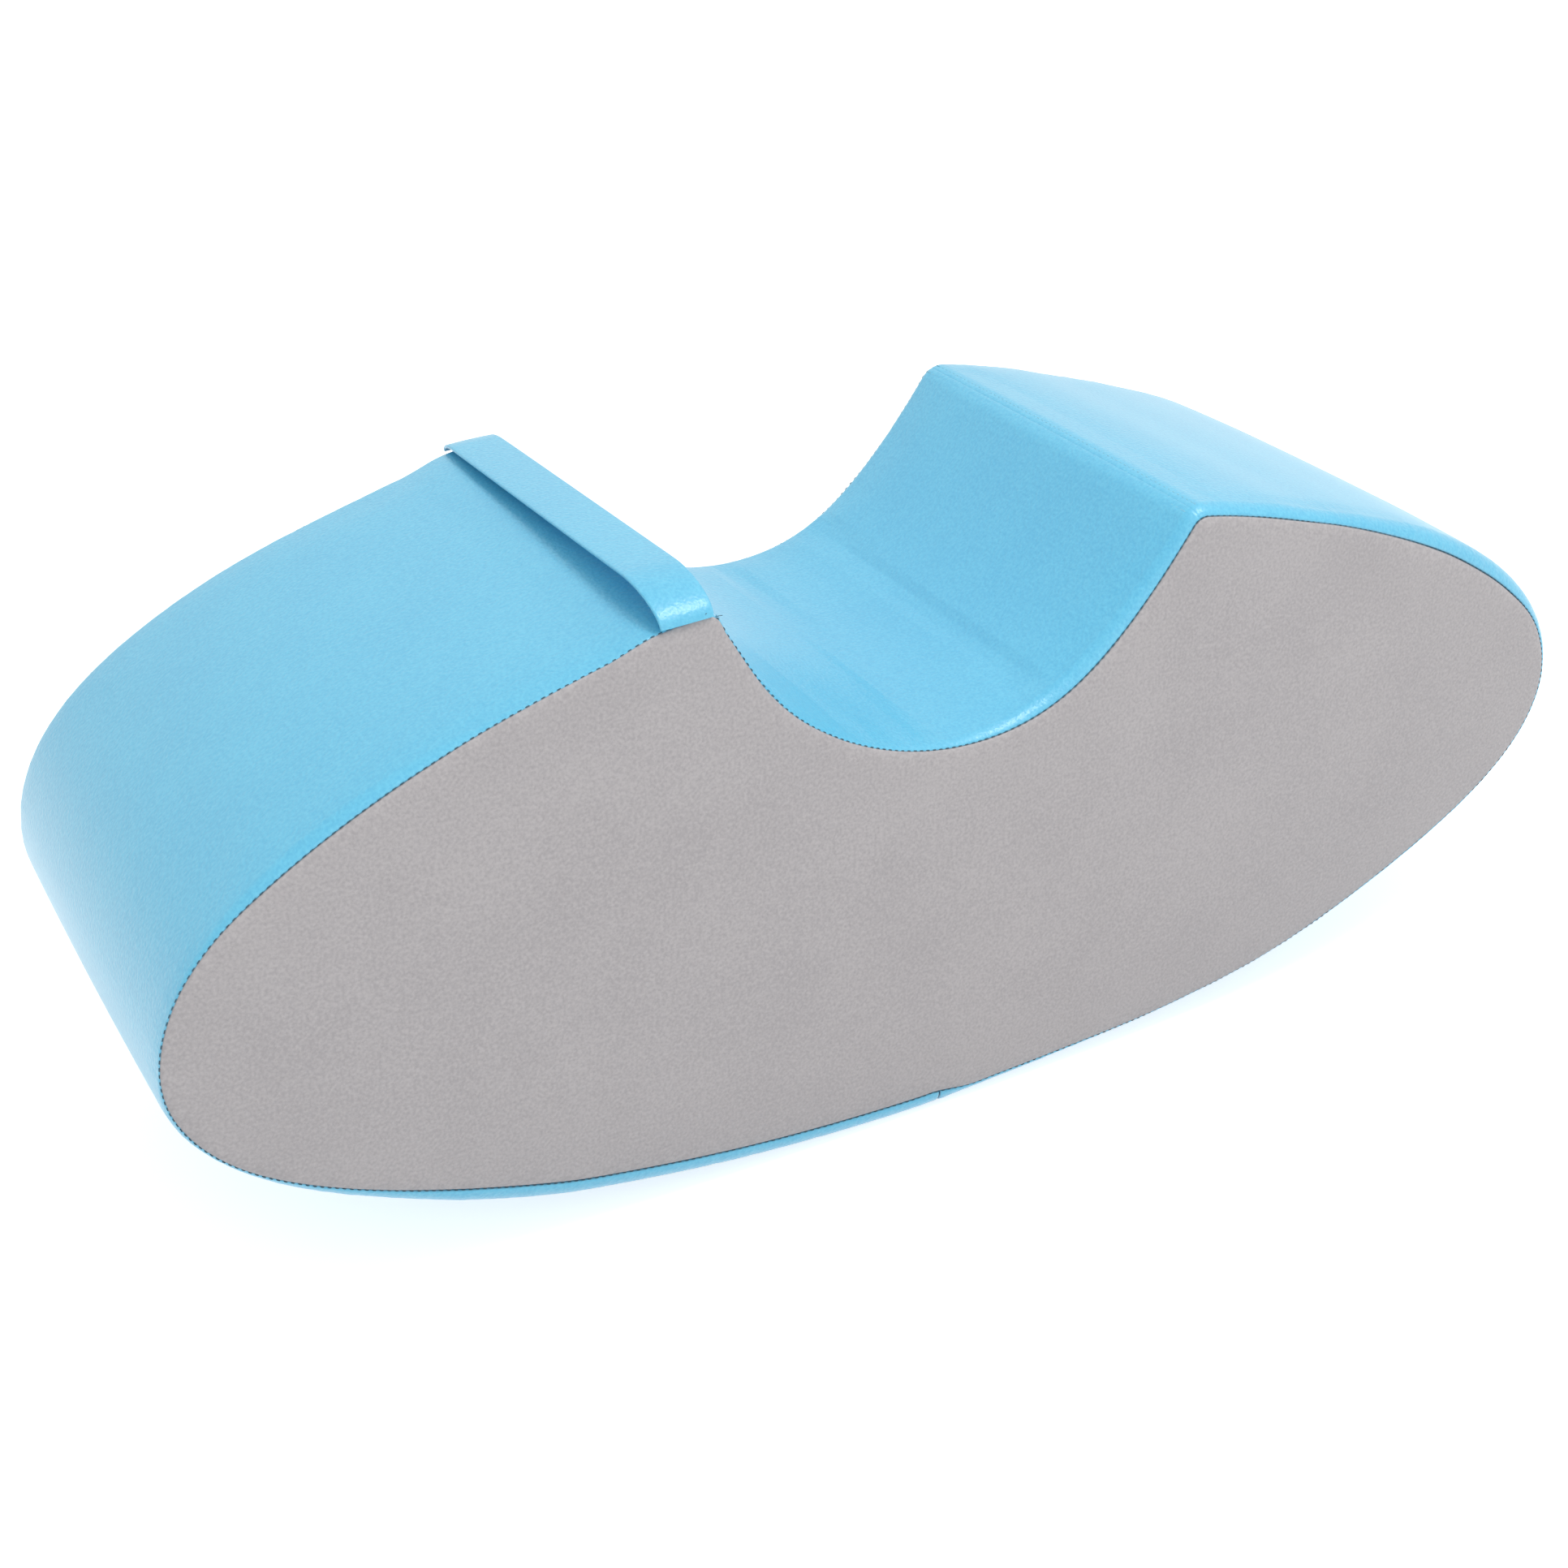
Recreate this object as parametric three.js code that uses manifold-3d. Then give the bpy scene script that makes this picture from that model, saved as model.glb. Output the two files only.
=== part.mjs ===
// Foam rocker: a boat-shaped block of foam with a round seat scooped out between two horns,
// in a sewn leatherette cover with a carrying strap over one horn and a zip in a lower seam.
// Millimetres. X runs along the rocker, Y across it, Z up. The origin is on the floor, under the middle.
import * as THREE from "three";
import { mergeVertices } from "three/addons/utils/BufferGeometryUtils.js";
import Module from "manifold-3d";

// Body outline, seen from the side
const LENGTH = 980;
const WIDTH = 300;
const BASE_RADIUS = 1235;
const BASE_ARC_HALF = 250;
const BASE_FLAT_DEPTH = 0.5;
const TIP_HEIGHT = 187;
const RIDGE_HEIGHT = 380;
const RIDGE_SPACING = 330;
const SEAT_HEIGHT = 262;
const SEAT_RADIUS = 157; // of the seat's curve at its middle
const SEAT_FLANK_SLOPE = 1.02; // radians, of the seat's flank beside its ridge
const HORN_SLOPE = 0.1; // radians, of the horn's top beside its ridge

// How far each end's direction carries into the three free curves of the outline
const FLANK_HANDLE = 44;
const TIP_LOWER_HANDLE = 91;
const TIP_UPPER_HANDLE = 120;
const RIDGE_HANDLE = 78;
const SEAT_FLANK_HANDLE = 42;

// Cover: skins, seams and soft edges
const COVER_THICKNESS = 1.2;
const SEAM_GAP = 0.3;
const CORE_CLEARANCE = 0.3;
const SEAM_INSET = 6;
const EDGE_EASE = 3; // what the soft edge's radius adds to the seam's inset
const RIDGE_EASE = 1.8; // what the ridge's rounding adds to the inset and the skin
const GUSSET_CROWN = 1.2;
const SIDE_CROWN = 3.5;
const SIDE_CROWN_REACH = 80;
const SEAM_ROLL = 5;
const WELD_DISTANCE = 0.0005;
const CUT_OVERRUN = 10;

// Carrying strap over the left horn
const STRAP_WIDTH = 35;
const STRAP_THICKNESS = 3;
const STRAP_SETBACK = 1;
const STRAP_LIFT = 17;
const STRAP_RISE = 46;
const STRAP_CLEARANCE = 0.4;

// Zip in the rear lower seam
const ZIP_ARC_MARGIN = 15;
const ZIP_BAND = 17;
const ZIP_SINK = 0.6;
const TAPE_THICKNESS = 0.8;
const TAPE_EDGE_GAP = 0.5;
const HEM_WIDTH = 8;
const HEM_CLEARANCE = 0.3;
const TEETH_PITCH = 4.2;
const TEETH_THICKNESS = 2.4;
const TEETH_REACH = 1;
const TEETH_SIDE_GAP = 0.3;
const TEETH_FLARE = 0.25;
const CHAIN_HALF_WIDTH = 3;
const RAIL_WIDTH = 1.2;
const ZIP_GAP = 0.3;
const ZIP_END_ROOM = 16;
const STOP_LENGTH = 3;
const STOP_EXCESS = 0.8; // by which a stop is thicker than the slider's channel

// Zip slider and its pull
const SLIDER_LENGTH = 11;
const SLIDER_WALL = 0.9;
const SLIDER_FLARE = 1.5;
const SLIDER_CLEARANCE = 0.3;
const SLIDER_NOSE = 1;
const POST_LENGTH = 4;
const POST_WIDTH = 3;
const BRIDGE_LENGTH = 7;
const BRIDGE_WIDTH = 3.2;
const BRIDGE_WALL = 0.75;
const PULL_BAR = 1;
const PULL_WIDTH = 6.4;
const PULL_LENGTH = 22;
const PULL_ARM = 1;
const PULL_CLEARANCE = 0.3;

// Numbers of steps, and shares of the sizes that they follow
const BASE_STEPS = 5;
const FLANK_STEPS = 11;
const TOP_STEPS = 11;
const RIDGE_STEPS = 4;
const SEAT_STEPS = 8;
const CROWN_STEPS = 3;
const FILLET_STEPS = 3;
const BAND_STEPS = 24;
const ROUND_STEPS = 12;
const RING_SHARES = [0, 0.025, 0.08, 0.22, 0.55];
const SPINE_REACH_SHARE = 0.7;
const SPINE_DIP_REACH_SHARE = 1.3;
const STRAP_END_SHARE = 0.9;
const STRAP_LEAVE_SHARE = 0.5;
const STRAP_HANDLE_SHARE = 0.4;
const STRAP_STEPS = 6;

const COLOURS = { blue: "#92d0ea", grey: "#aea8a9", foam: "#efe6c4", tape: "#7fb9d2", metal: "#b9bcc0" };

const wasm = await Module();
wasm.setup();

const FRONT = -1;
const REAR = 1;
const LEFT = -1;
const RIGHT = 1;
const ridgeHalf = RIDGE_SPACING / 2;
const ridgeRounding = SEAM_INSET + COVER_THICKNESS + RIDGE_EASE;
const edgeRadius = SEAM_INSET + EDGE_EASE;

// Solids and geometries

function weld(geometry) {
  const bare = geometry.clone();
  bare.deleteAttribute("normal");
  bare.deleteAttribute("uv");
  return mergeVertices(bare, WELD_DISTANCE);
}

function solidFrom(geometry) {
  const welded = weld(geometry);
  return new wasm.Manifold(
    new wasm.Mesh({
      numProp: 3,
      vertProperties: welded.attributes.position.array,
      triVerts: new Uint32Array(welded.index.array),
    }),
  );
}

function geometryFrom(solid) {
  const mesh = solid.getMesh();
  const positions = new Float32Array(mesh.numVert * 3);
  for (let i = 0; i < mesh.numVert; i++) {
    const start = i * mesh.numProp;
    positions.set(mesh.vertProperties.subarray(start, start + 3), i * 3);
  }
  return indexedGeometry(positions, mesh.triVerts);
}

function indexedGeometry(positions, triangles) {
  const geometry = new THREE.BufferGeometry();
  geometry.setAttribute("position", new THREE.BufferAttribute(positions, 3));
  geometry.setIndex(new THREE.BufferAttribute(new Uint32Array(triangles), 1));
  return geometry;
}

// A flat outline in X and Z, with thickness from one Y to another
function plate(outline, lowY, highY) {
  const shape = outline instanceof THREE.Shape ? outline : new THREE.Shape(outline);
  const geometry = new THREE.ExtrudeGeometry(shape, {
    depth: highY - lowY,
    bevelEnabled: false,
    curveSegments: ROUND_STEPS,
  });
  return geometry.rotateX(Math.PI / 2).translate(0, highY, 0);
}

// The body's outline: stations from the middle of the base round the right tip and ridge
// to the middle of the seat, each with its outward normal

function ridgeCorner() {
  const corner = new THREE.Vector2(ridgeHalf, RIDGE_HEIGHT);
  const alongTop = new THREE.Vector2(Math.cos(HORN_SLOPE), -Math.sin(HORN_SLOPE));
  const alongFlank = new THREE.Vector2(-Math.cos(SEAT_FLANK_SLOPE), -Math.sin(SEAT_FLANK_SLOPE));
  const halfAngle = Math.acos(alongTop.dot(alongFlank)) / 2;
  const inward = alongTop.clone().add(alongFlank).normalize();
  return {
    alongTop,
    alongFlank,
    topEnd: corner.clone().addScaledVector(alongTop, ridgeRounding / Math.tan(halfAngle)),
    flankStart: corner.clone().addScaledVector(alongFlank, ridgeRounding / Math.tan(halfAngle)),
    centre: corner.clone().addScaledVector(inward, ridgeRounding / Math.sin(halfAngle)),
  };
}

// From the flank to the middle of the seat. The last handle's length gives the curve
// the seat's radius there: radius = 3/2 of handle squared over the first handle's height.
function seatCurve(ridge) {
  const middle = new THREE.Vector2(0, SEAT_HEIGHT);
  const flankHandle = ridge.flankStart.clone().addScaledVector(ridge.alongFlank, SEAT_FLANK_HANDLE);
  const rise = flankHandle.y - middle.y;
  const middleHandle = new THREE.Vector2(Math.sqrt((SEAT_RADIUS * rise * 2) / 3), SEAT_HEIGHT);
  return new THREE.CubicBezierCurve(ridge.flankStart, flankHandle, middleHandle, middle);
}

function outlineCurves() {
  const ridge = ridgeCorner();
  const baseAngle = Math.asin(BASE_ARC_HALF / BASE_RADIUS);
  const down = -Math.PI / 2;
  const baseEnd = new THREE.Vector2(BASE_ARC_HALF, BASE_RADIUS * (1 - Math.cos(baseAngle)));
  const baseDirection = new THREE.Vector2(Math.cos(baseAngle), Math.sin(baseAngle));
  const tip = new THREE.Vector2(LENGTH / 2, TIP_HEIGHT);
  const roundingFrom = ridge.topEnd.clone().sub(ridge.centre).angle();
  const roundingTo = ridge.flankStart.clone().sub(ridge.centre).angle();
  return [
    [new THREE.EllipseCurve(0, BASE_RADIUS, BASE_RADIUS, BASE_RADIUS, down, down + baseAngle), BASE_STEPS],
    [
      new THREE.CubicBezierCurve(
        baseEnd,
        baseEnd.clone().addScaledVector(baseDirection, FLANK_HANDLE),
        new THREE.Vector2(tip.x, tip.y - TIP_LOWER_HANDLE),
        tip,
      ),
      FLANK_STEPS,
    ],
    [
      new THREE.CubicBezierCurve(
        tip,
        new THREE.Vector2(tip.x, tip.y + TIP_UPPER_HANDLE),
        ridge.topEnd.clone().addScaledVector(ridge.alongTop, RIDGE_HANDLE),
        ridge.topEnd,
      ),
      TOP_STEPS,
    ],
    [
      new THREE.EllipseCurve(
        ridge.centre.x,
        ridge.centre.y,
        ridgeRounding,
        ridgeRounding,
        roundingFrom,
        roundingTo,
      ),
      RIDGE_STEPS,
    ],
    [seatCurve(ridge), SEAT_STEPS],
  ];
}

function stationOn(curve, share) {
  const place = curve.getPoint(share);
  const along = curve.getTangent(share);
  return { x: place.x, z: place.y, nx: along.y, nz: -along.x };
}

function mirrored(station) {
  return { x: -station.x, z: station.z, nx: -station.nx, nz: station.nz };
}

function moved(station, distance) {
  return {
    ...station,
    x: station.x - station.nz * distance,
    z: station.z + station.nx * distance,
  };
}

const curves = outlineCurves();
const rightHalf = [stationOn(curves[0][0], 0)];
for (const [curve, steps] of curves) {
  for (let i = 1; i <= steps; i++) rightHalf.push(stationOn(curve, i / steps));
}
const ridgeIndex = BASE_STEPS + FLANK_STEPS + TOP_STEPS + RIDGE_STEPS / 2;
const leftHalf = rightHalf.map(mirrored).reverse();
const loop = [...rightHalf, ...leftHalf.slice(1, -1)];

// A run of stations whose ends leave half a seam's gap each
function seamed(stations) {
  const run = [...stations];
  run[0] = moved(run[0], SEAM_GAP / 2);
  run[run.length - 1] = moved(run[run.length - 1], -SEAM_GAP / 2);
  return run;
}

// The section across the body: a faint crown, then a soft edge down to the seam on each side.
// lift is measured out from the outline, y across; deeper skins keep the same steps.

const edgeY = WIDTH / 2 - SIDE_CROWN;
const filletY = edgeY - edgeRadius;
const seamAngle = Math.acos(1 - (SEAM_INSET - GUSSET_CROWN) / edgeRadius);

function filletPoint(angle, depth) {
  const radius = edgeRadius - depth;
  return {
    lift: -GUSSET_CROWN - edgeRadius + radius * Math.cos(angle),
    y: filletY + radius * Math.sin(angle),
  };
}

function halfSection(depth) {
  const points = [];
  for (let i = FILLET_STEPS; i > 0; i--) {
    points.push(filletPoint((seamAngle * i) / FILLET_STEPS, depth));
  }
  for (let i = CROWN_STEPS; i >= 0; i--) {
    const share = i / CROWN_STEPS;
    points.push({ lift: -GUSSET_CROWN * share ** 2 - depth, y: filletY * share });
  }
  return points;
}

// From the rear seam over the middle to the front seam
function fullSection(depth) {
  const rear = halfSection(depth);
  const front = rear.slice(0, -1).reverse();
  return [...rear, ...front.map((point) => ({ lift: point.lift, y: -point.y }))];
}

function place(station, point) {
  return new THREE.Vector3(
    station.x + station.nx * point.lift,
    point.y,
    station.z + station.nz * point.lift,
  );
}

// Sheets: a list of outer points, a list of inner ones and the triangles that join either list

function gridTriangles(rows, columns, closed) {
  const triangles = [];
  const last = closed ? rows : rows - 1;
  for (let i = 0; i < last; i++) {
    for (let j = 0; j < columns - 1; j++) {
      const a = i * columns + j;
      const b = ((i + 1) % rows) * columns + j;
      triangles.push([a, b + 1, a + 1], [a, b, b + 1]);
    }
  }
  return triangles;
}

function turned(triangles) {
  return triangles.map(([a, b, c]) => [c, b, a]);
}

function shifted(triangles, count) {
  return triangles.map((triangle) => triangle.map((index) => index + count));
}

// The edges that only one triangle has, in that triangle's direction
function openEdges(triangles) {
  const edges = new Map();
  for (const [a, b, c] of triangles) {
    for (const [from, to] of [[a, b], [b, c], [c, a]]) {
      if (edges.has(to + "," + from)) edges.delete(to + "," + from);
      else edges.set(from + "," + to, [from, to]);
    }
  }
  return [...edges.values()];
}

// A skin between two faces: the outer triangles, the inner ones turned, and a wall on each open edge
function skin(outer, inner, triangles) {
  const count = outer.length;
  const walls = openEdges(triangles).flatMap(([a, b]) => [
    [b, a, a + count],
    [b, a + count, b + count],
  ]);
  return meshOf([...outer, ...inner], [...triangles, ...shifted(turned(triangles), count), ...walls]);
}

function meshOf(points, triangles) {
  const positions = new Float32Array(points.flatMap((point) => [point.x, point.y, point.z]));
  return indexedGeometry(positions, triangles.flat());
}

function sectionGrid(stations, section) {
  return stations.flatMap((station) => section.map((point) => place(station, point)));
}

// A strip of the gusset, from one seam across the body to the other
function gussetSkin(stations) {
  const outer = fullSection(0);
  const inner = fullSection(COVER_THICKNESS);
  return skin(
    sectionGrid(stations, outer),
    sectionGrid(stations, inner),
    gridTriangles(stations.length, outer.length, false),
  );
}

// Side face: rings that close in on a spine inside the outline, crowned by their distance from the seam

function seamPoint(depth, gap) {
  const point = filletPoint(seamAngle, depth);
  return {
    lift: point.lift - gap * Math.sin(seamAngle),
    y: point.y + gap * Math.cos(seamAngle),
  };
}

const rim = seamPoint(0, SEAM_GAP);
const rimLoop = loop.map((station) => place(station, rim));

function spineHeight(x) {
  const reach = ridgeHalf * SPINE_DIP_REACH_SHARE;
  const share = Math.min(Math.abs(x) / reach, 1);
  const dip = (1 + Math.cos(Math.PI * share)) / 2;
  return TIP_HEIGHT - (TIP_HEIGHT - SEAT_HEIGHT / 2) * dip;
}

function distanceToRim(x, z) {
  let least = Infinity;
  rimLoop.forEach((from, i) => {
    const to = rimLoop[(i + 1) % rimLoop.length];
    const dx = to.x - from.x;
    const dz = to.z - from.z;
    const share = ((x - from.x) * dx + (z - from.z) * dz) / (dx * dx + dz * dz);
    const near = Math.min(Math.max(share, 0), 1);
    least = Math.min(least, Math.hypot(x - from.x - dx * near, z - from.z - dz * near));
  });
  return least;
}

function sideY(x, z) {
  const distance = distanceToRim(x, z);
  const roll = Math.min(distance / SEAM_ROLL, 1);
  const crown = 1 - (1 - Math.min(distance / SIDE_CROWN_REACH, 1)) ** 2;
  return rim.y + (edgeY - rim.y) * (1 - (1 - roll) ** 2) + SIDE_CROWN * crown;
}

// The rings of the rear face at a depth under its outside; the first one is given
function sideRings(firstRing, depth) {
  const rings = [firstRing];
  for (const share of RING_SHARES.slice(1)) {
    rings.push(
      rimLoop.map((point) => {
        const spineX = point.x * SPINE_REACH_SHARE;
        const x = THREE.MathUtils.lerp(point.x, spineX, share);
        const z = THREE.MathUtils.lerp(point.z, spineHeight(spineX), share);
        return new THREE.Vector3(x, sideY(x, z) - depth, z);
      }),
    );
  }
  return rings;
}

// Triangles of the rear face, wound to look along +Y
function sideTriangles(rings) {
  const count = loop.length;
  const triangles = [];
  for (let k = 0; k < rings.length - 1; k++) {
    for (let i = 0; i < count; i++) {
      const next = (i + 1) % count;
      const a = k * count;
      const b = a + count;
      triangles.push([a + i, b + next, a + next], [a + i, b + i, b + next]);
    }
  }
  const last = rings[rings.length - 1];
  const flat = last.map((point) => new THREE.Vector2(point.x, point.z));
  const fill = turned(THREE.ShapeUtils.triangulateShape(flat, []));
  return [...triangles, ...shifted(fill, (rings.length - 1) * count)];
}

function faced(points, side) {
  return points.map((point) => new THREE.Vector3(point.x, point.y * side, point.z));
}

function sideSkin(side) {
  const outerRings = sideRings(rimLoop, 0);
  const innerRim = seamPoint(COVER_THICKNESS, SEAM_GAP);
  const innerRings = sideRings(loop.map((station) => place(station, innerRim)), COVER_THICKNESS);
  const triangles = sideTriangles(outerRings);
  return skin(
    faced(outerRings.flat(), side),
    faced(innerRings.flat(), side),
    side === REAR ? triangles : turned(triangles),
  );
}

// The whole body at a depth under the cover's outside, as one closed solid
function bodySolid(depth) {
  const section = fullSection(depth);
  const seam = seamPoint(depth, 0);
  const rings = sideRings(loop.map((station) => place(station, seam)), depth);
  const triangles = sideTriangles(rings);
  const gusset = sectionGrid(loop, section);
  const face = rings.flat();
  const points = [...gusset, ...faced(face, REAR), ...faced(face, FRONT)];
  return solidFrom(
    meshOf(points, [
      ...gridTriangles(loop.length, section.length, true),
      ...shifted(triangles, gusset.length),
      ...shifted(turned(triangles), gusset.length + face.length),
    ]),
  );
}

// Zip: it follows the base's arc, at its own distance in from the seam

const zipHalf = BASE_ARC_HALF - ZIP_ARC_MARGIN;
const zipRadius = BASE_RADIUS - SEAM_INSET - SEAM_GAP - ZIP_BAND / 2;
const zipY = rim.y - ZIP_SINK;
const tapeEdge = CHAIN_HALF_WIDTH + ZIP_GAP;
const sliderAlong = -zipHalf + ZIP_END_ROOM;
const teethEnd = zipHalf - ZIP_END_ROOM + STOP_LENGTH;

// A place on the zip: along its arc from the middle, and across towards the arc's centre
function zipPoint(along, across) {
  const angle = along / zipRadius;
  const radius = zipRadius - across;
  return new THREE.Vector2(radius * Math.sin(angle), BASE_RADIUS - radius * Math.cos(angle));
}

function arcBand(fromAlong, toAlong, lowAcross, highAcross, lowY, highY) {
  const lower = [];
  const upper = [];
  for (let i = 0; i <= BAND_STEPS; i++) {
    const along = THREE.MathUtils.lerp(fromAlong, toAlong, i / BAND_STEPS);
    lower.push(zipPoint(along, lowAcross));
    upper.unshift(zipPoint(along, highAcross));
  }
  return plate([...lower, ...upper], lowY, highY);
}

function tape(lowAcross, highAcross) {
  const half = zipHalf - ZIP_GAP;
  const thick = TAPE_THICKNESS / 2;
  return arcBand(-half, half, lowAcross, highAcross, zipY - thick, zipY + thick);
}

const lowerTape = () => tape(-ZIP_BAND / 2 + TAPE_EDGE_GAP, -tapeEdge);
const upperTape = () => tape(tapeEdge, ZIP_BAND / 2 + HEM_WIDTH);

// One row of teeth: a rail with dovetail heads that reach just past the middle of the chain.
// side is 1 for the upper row; the lower one stands half a pitch further on.
function teethRow(side) {
  const start = sliderAlong - SLIDER_NOSE;
  const count = Math.floor((teethEnd - start) / TEETH_PITCH);
  const headHalf = (TEETH_PITCH / 2 - TEETH_SIDE_GAP + TEETH_FLARE) / 2;
  const rootHalf = headHalf - TEETH_FLARE;
  const railInner = CHAIN_HALF_WIDTH - RAIL_WIDTH;
  const outline = [];
  const add = (along, across) => outline.push(zipPoint(along, across * side));
  add(teethEnd, railInner);
  for (let i = 0; i <= BAND_STEPS; i++) {
    add(THREE.MathUtils.lerp(teethEnd, start, i / BAND_STEPS), CHAIN_HALF_WIDTH);
  }
  add(start, railInner);
  for (let i = 0; i < count; i++) {
    const middle = start + TEETH_PITCH * (i + (side > 0 ? 1 : 3) / 4);
    add(middle - rootHalf, railInner);
    add(middle - headHalf, -TEETH_REACH);
    add(middle + headHalf, -TEETH_REACH);
    add(middle + rootHalf, railInner);
  }
  const thick = TEETH_THICKNESS / 2;
  return plate(outline, zipY - thick, zipY + thick);
}

function stopBlock(fromAlong, lowAcross, highAcross) {
  const thick = channelHalf + STOP_EXCESS / 2;
  const corners = [
    zipPoint(fromAlong, lowAcross),
    zipPoint(fromAlong + STOP_LENGTH, lowAcross),
    zipPoint(fromAlong + STOP_LENGTH, highAcross),
    zipPoint(fromAlong, highAcross),
  ];
  return plate(corners, zipY - thick, zipY + thick);
}

function topStop(side) {
  const from = sliderAlong - SLIDER_LENGTH / 2 - SLIDER_NOSE - ZIP_GAP - STOP_LENGTH;
  const inner = CHAIN_HALF_WIDTH - RAIL_WIDTH;
  return side > 0
    ? stopBlock(from, inner, CHAIN_HALF_WIDTH)
    : stopBlock(from, -CHAIN_HALF_WIDTH, -inner);
}

function bottomStop() {
  return stopBlock(teethEnd + ZIP_GAP, -CHAIN_HALF_WIDTH, CHAIN_HALF_WIDTH);
}

// The slider and its pull are drawn about the slider's own middle: x along the closed chain,
// z towards the arc's centre, y out of the face

const channelHalf = TEETH_THICKNESS / 2 + SLIDER_CLEARANCE;
const wingTop = channelHalf + SLIDER_WALL;
const rearHalf = CHAIN_HALF_WIDTH + SLIDER_CLEARANCE + SLIDER_WALL;
const frontHalf = rearHalf + SLIDER_FLARE;
const barY = wingTop + PULL_CLEARANCE + PULL_BAR / 2;

// Half width narrows from the two mouths at the nose to the single mouth behind
function sliderOutline(wall, overrun) {
  const rear = SLIDER_LENGTH / 2 + overrun;
  const nose = -SLIDER_LENGTH / 2 - overrun;
  const shoulder = nose + SLIDER_LENGTH / 3;
  const outline = new THREE.Shape();
  outline.moveTo(rear, -rearHalf + wall);
  outline.lineTo(rear, rearHalf - wall);
  outline.bezierCurveTo(0, rearHalf - wall, 0, frontHalf - wall, shoulder, frontHalf - wall);
  outline.lineTo(nose, frontHalf - wall - SLIDER_NOSE);
  outline.lineTo(nose - SLIDER_NOSE, 0);
  outline.lineTo(nose, -frontHalf + wall + SLIDER_NOSE);
  outline.lineTo(shoulder, -frontHalf + wall);
  outline.bezierCurveTo(0, -frontHalf + wall, 0, -rearHalf + wall, rear, -rearHalf + wall);
  return outline;
}

// The divider that splits the two rows at the nose
function sliderPost() {
  const nose = -SLIDER_LENGTH / 2;
  const outline = new THREE.Shape();
  outline.moveTo(nose + POST_LENGTH, 0);
  outline.lineTo(nose + POST_LENGTH / 2, POST_WIDTH / 2);
  outline.lineTo(nose - SLIDER_NOSE / 2, POST_WIDTH / 3);
  outline.lineTo(nose - SLIDER_NOSE / 2, -POST_WIDTH / 3);
  outline.lineTo(nose + POST_LENGTH / 2, -POST_WIDTH / 2);
  return plate(outline, -channelHalf - SLIDER_WALL / 2, channelHalf + SLIDER_WALL / 2);
}

// The arch over the outer wing that holds the pull's bar
function sliderBridge() {
  const half = BRIDGE_LENGTH / 2;
  const eyeTop = barY + PULL_BAR / 2 + PULL_CLEARANCE;
  const arch = new THREE.Shape();
  arch.moveTo(-half, wingTop - SLIDER_WALL / 2);
  arch.lineTo(half, wingTop - SLIDER_WALL / 2);
  arch.lineTo(half, eyeTop);
  arch.lineTo(half - BRIDGE_WALL, eyeTop + BRIDGE_WALL);
  arch.lineTo(-half + BRIDGE_WALL, eyeTop + BRIDGE_WALL);
  arch.lineTo(-half, eyeTop);
  const eye = new THREE.Path();
  eye.moveTo(-half + BRIDGE_WALL, wingTop);
  eye.lineTo(half - BRIDGE_WALL, wingTop);
  eye.lineTo(half - BRIDGE_WALL, eyeTop);
  eye.lineTo(-half + BRIDGE_WALL, eyeTop);
  arch.holes.push(eye);
  const geometry = new THREE.ExtrudeGeometry(arch, { depth: BRIDGE_WIDTH, bevelEnabled: false });
  return geometry.translate(0, 0, -BRIDGE_WIDTH / 2);
}

function zipSlider() {
  const slot = TAPE_THICKNESS / 2 + SLIDER_CLEARANCE;
  const reach = SLIDER_LENGTH + CUT_OVERRUN;
  const tapeSlot = new THREE.BoxGeometry(2 * reach, 2 * slot, 2 * reach);
  const block = solidFrom(plate(sliderOutline(0, 0), -wingTop, wingTop));
  const channel = solidFrom(plate(sliderOutline(SLIDER_WALL, CUT_OVERRUN), -channelHalf, channelHalf));
  const shell = block.subtract(channel).subtract(solidFrom(tapeSlot));
  return geometryFrom(shell.add(solidFrom(sliderPost())).add(solidFrom(sliderBridge())));
}

// A round bar under the bridge, two arms beside it and a plate with a slot
function zipPull() {
  const inner = BRIDGE_WIDTH / 2 + PULL_CLEARANCE;
  const plateStart = BRIDGE_LENGTH / 2 + SLIDER_WALL;
  const half = PULL_WIDTH / 2;
  const outline = new THREE.Shape();
  outline.moveTo(0, -inner - PULL_ARM);
  outline.lineTo(plateStart, -half);
  outline.lineTo(PULL_LENGTH - half, -half);
  outline.absarc(PULL_LENGTH - half, 0, half, -Math.PI / 2, Math.PI / 2);
  outline.lineTo(plateStart, half);
  outline.lineTo(0, inner + PULL_ARM);
  outline.lineTo(0, inner);
  outline.lineTo(plateStart, inner);
  outline.lineTo(plateStart, -inner);
  outline.lineTo(0, -inner);
  const slot = new THREE.Path();
  const slotStart = plateStart + PULL_WIDTH / 2;
  slot.moveTo(slotStart, -PULL_ARM);
  slot.lineTo(slotStart, PULL_ARM);
  slot.lineTo(PULL_LENGTH - half, PULL_ARM);
  slot.lineTo(PULL_LENGTH - half, -PULL_ARM);
  outline.holes.push(slot);
  const tab = plate(outline, barY - PULL_BAR / 2, barY + PULL_BAR / 2);
  const bar = new THREE.CylinderGeometry(
    PULL_BAR / 2,
    PULL_BAR / 2,
    2 * (inner + PULL_ARM / 2),
    ROUND_STEPS,
  );
  bar.rotateX(Math.PI / 2).translate(0, barY, 0);
  return geometryFrom(solidFrom(tab).add(solidFrom(bar)));
}

// Carrying strap: sewn in at both side seams, it leaves the soft edge and runs level over the horn

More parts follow.
